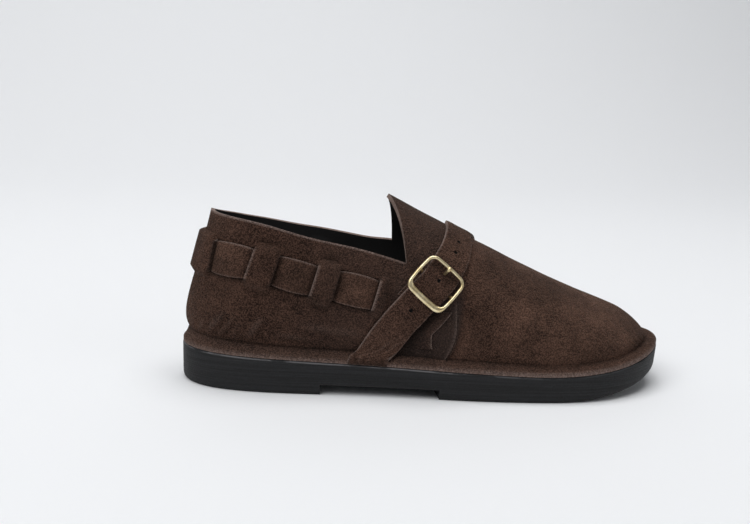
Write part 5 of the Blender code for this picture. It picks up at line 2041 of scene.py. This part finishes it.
class SHOE_OT_sole(bpy.types.Operator):
    """Make the lined rubber sole and dress the insole"""

    bl_idname = "shoe.sole"
    bl_label = "Sole and insole"

    STEP = 1.8
    SHARP_ANGLE = 35

    def execute(self, context):
        self.angles = angle_of(even_stations([0.0, HEEL_BREAST, FOREFOOT_BREAST, SOLE_LENGTH], self.STEP))
        self.points = []
        self.places = {}
        self.faces = []
        self.side_and_tread()
        marks = np.zeros((len(self.points), len(MARK_NAMES)))
        # Painted highlight on the sole's upper edge, weaker towards the toe
        for (_side, _column, ring), number in self.places.items():
            if ring == HIGHLIGHT_RING:
                highlight_share = 1 - HIGHLIGHT_TOE_LOSS * smooth(*HIGHLIGHT_TOE_SPAN, self.points[number][0])
                marks[number, MARK_NAMES.index("rub_and_highlight")] = highlight_share
        shoe_object("rubber_sole", self.points, self.faces, [finish(context, "rubber")],
                    ("outsole",), marks=marks, sharp=self.SHARP_ANGLE)
        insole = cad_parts["insole"]
        for slot in insole.material_slots:
            slot.material = finish(context, "lining")
        return {"FINISHED"}

    def corner(self, side, column, ring):
        """Number of a point of a ring, shared by both sides at the heel and the toe."""
        key = (0 if column in (0, len(self.angles) - 1) else side, column, ring)
        if key not in self.places:
            row = SOLE_RINGS[ring]
            x, y = outline(side, self.angles[column], row.inset)
            top = float(sole_top(x))
            floor = float(sole_floor(edge_x(self.angles[column])))
            level = {"top": top, "middle": (top + floor + WAIST_CLEARANCE) / 2, "floor": floor}[row.level]
            self.places[key] = len(self.points)
            self.points.append((x, y, level + row.rise))
        return self.places[key]

    def patch(self, corners, turned):
        distinct = list(dict.fromkeys(self.corner(*corner) for corner in corners))
        if len(distinct) > 2:
            self.faces.append(distinct[::-1] if turned else distinct)

    def side_and_tread(self):
        """Faces of the side, the top and the tread, with the heel and forefoot blocks below the waist."""
        heel = int(np.abs(self.angles - angle_of(HEEL_BREAST)).argmin())
        forefoot = int(np.abs(self.angles - angle_of(FOREFOOT_BREAST)).argmin())
        lowest = len(SOLE_RINGS) - 1
        for column in range(len(self.angles) - 1):
            after = column + 1
            bottom = lowest if column < heel or column >= forefoot else WAIST_RING
            for ring in range(bottom):
                for side in (LATERAL, MEDIAL):
                    self.patch(((side, column, ring + 1), (side, after, ring + 1),
                                (side, after, ring), (side, column, ring)), side == MEDIAL)
            for ring, turned in ((0, False), (bottom, True)):
                self.patch(((LATERAL, column, ring), (LATERAL, after, ring),
                            (MEDIAL, after, ring), (MEDIAL, column, ring)), turned)
        for column, turned in ((heel, False), (forefoot, True)):
            for ring in range(WAIST_RING, lowest):
                self.patch(((LATERAL, column, ring + 1), (MEDIAL, column, ring + 1),
                            (MEDIAL, column, ring), (LATERAL, column, ring)), turned)


# Stage's lamps, in metres and watts
SHOE_MIDDLE = (0.0, 0.0, 0.04)
PAPER_MIDDLE = (0.0, 1.7, 0.7)
Lamp = namedtuple("Lamp", "name place size power target")
LAMPS = (
    Lamp("key_light", (-1.30, -1.15, 2.10), 2.2, 38.5, SHOE_MIDDLE),
    Lamp("top_light", (0.20, 0.05, 1.75), 1.2, 12.5, SHOE_MIDDLE),
    Lamp("front_light", (1.3, -1.1, 0.8), 1.2, 2.2, SHOE_MIDDLE),
    Lamp("wall_light", (-0.3, 0.3, 2.0), 0.9, 7.0, PAPER_MIDDLE),
)


def aim(toward):
    """Turn that points a lamp's -Z along a direction."""
    back = -toward / np.linalg.norm(toward)
    right = np.cross((0.0, 1.0, 0.0), back)
    right /= np.linalg.norm(right)
    up = np.cross(back, right)
    return Matrix([[right[row], up[row], back[row]] for row in range(3)]).to_4x4()


class SHOE_OT_stage(bpy.types.Operator):
    """Set up the pale floor, soft studio light and the camera"""

    bl_idname = "shoe.stage"
    bl_label = "Stage"

    CAMERA_PLACE = (28.2, -533.2, 183.6)
    CAMERA_TURNS = (7.92, 12.48, 2.86)
    CAMERA_LENS = 48.62
    CAMERA_SENSOR = 36.0
    FLOOR_BEND = 1.1
    FLOOR_BACK = 0.7
    FLOOR_BEND_STEPS = 16
    WORLD_COLOUR = (0.95, 0.97, 1.0, 1.0)
    WORLD_STRENGTH = 0.18

    def execute(self, context):
        self.floor(context)
        self.lights(context)
        self.camera(context)
        context.scene.view_settings.view_transform = "Standard"
        return {"FINISHED"}

    def floor(self, context):
        half = context.scene.shoe_sizes.floor_size
        profile = [(-half, 0.0), (self.FLOOR_BACK, 0.0)]
        for step in range(1, self.FLOOR_BEND_STEPS + 1):
            turn = math.pi / 2 * step / self.FLOOR_BEND_STEPS
            back = self.FLOOR_BACK + self.FLOOR_BEND * math.sin(turn)
            profile.append((back, self.FLOOR_BEND * (1 - math.cos(turn))))
        profile.append((self.FLOOR_BACK + self.FLOOR_BEND, half))
        points = [(x, y, z) for x in (-half, half) for y, z in profile]
        count = len(profile)
        faces = [(row, row + count, row + count + 1, row + 1) for row in range(count - 1)]
        mesh = bpy.data.meshes.new("studio_paper")
        mesh.from_pydata(points, [], faces)
        mesh.shade_smooth()
        mesh.materials.append(finish(context, "floor"))
        paper = bpy.data.objects.new("studio_paper", mesh)
        context.scene.collection.objects.link(paper)

    def lights(self, context):
        world = bpy.data.worlds.new("soft_studio")
        world.use_nodes = True
        background = world.node_tree.nodes["Background"]
        background.inputs["Color"].default_value = self.WORLD_COLOUR
        background.inputs["Strength"].default_value = self.WORLD_STRENGTH
        context.scene.world = world
        for lamp in LAMPS:
            light = bpy.data.lights.new(lamp.name, "AREA")
            light.shape = "DISK"
            light.size = lamp.size
            light.energy = lamp.power
            placed = bpy.data.objects.new(lamp.name, light)
            context.scene.collection.objects.link(placed)
            toward = np.array(lamp.target) - np.array(lamp.place)
            placed.matrix_world = Matrix.Translation(lamp.place) @ aim(toward)

    def camera(self, context):
        yaw, pitch, roll = (math.radians(turn) for turn in self.CAMERA_TURNS)
        ahead = np.array((math.sin(yaw) * math.cos(pitch), math.cos(yaw) * math.cos(pitch), -math.sin(pitch)))
        right = np.array((math.cos(yaw), -math.sin(yaw), 0.0))
        up = np.cross(right, ahead)
        rolled_right = math.cos(roll) * right + math.sin(roll) * up
        rolled_up = math.cos(roll) * up - math.sin(roll) * right
        lens = bpy.data.cameras.new("camera")
        lens.lens = self.CAMERA_LENS
        lens.sensor_width = self.CAMERA_SENSOR
        camera = bpy.data.objects.new("camera", lens)
        context.scene.collection.objects.link(camera)
        turned = Matrix([[rolled_right[row], rolled_up[row], -ahead[row]] for row in range(3)]).to_4x4()
        place = (np.array(self.CAMERA_PLACE) - ORIGIN) * MM
        camera.matrix_world = Matrix.Translation(place) @ turned
        context.scene.camera = camera


class SHOE_PT_pieces(bpy.types.Panel):
    """Pieces, sizes and colours of the shoe"""

    bl_idname = "SHOE_PT_pieces"
    bl_label = "Buckled flat shoe"
    bl_space_type = "VIEW_3D"
    bl_region_type = "UI"
    bl_category = "Shoe"

    def draw(self, context):
        for piece in OPERATORS:
            self.layout.operator(piece.bl_idname)
        for group in (context.scene.shoe_sizes, context.scene.shoe_colours):
            box = self.layout.box()
            for name in group.bl_rna.properties.keys():
                if name not in ("rna_type", "name"):
                    box.prop(group, name)


OPERATORS = (SHOE_OT_sole, SHOE_OT_upper, SHOE_OT_straps, SHOE_OT_buckle,
             SHOE_OT_stitches, SHOE_OT_stage)
CLASSES = (ShoeSizes, ShoeColours, *OPERATORS, SHOE_PT_pieces)


def register():
    for item in CLASSES:
        bpy.utils.register_class(item)
    bpy.types.Scene.shoe_sizes = PointerProperty(type=ShoeSizes)
    bpy.types.Scene.shoe_colours = PointerProperty(type=ShoeColours)


def unregister():
    del bpy.types.Scene.shoe_colours
    del bpy.types.Scene.shoe_sizes
    for item in reversed(CLASSES):
        bpy.utils.unregister_class(item)


def main():
    register()
    for piece in OPERATORS:
        group, name = piece.bl_idname.split(".")
        getattr(getattr(bpy.ops, group), name)()


if __name__ == "__main__":
    main()
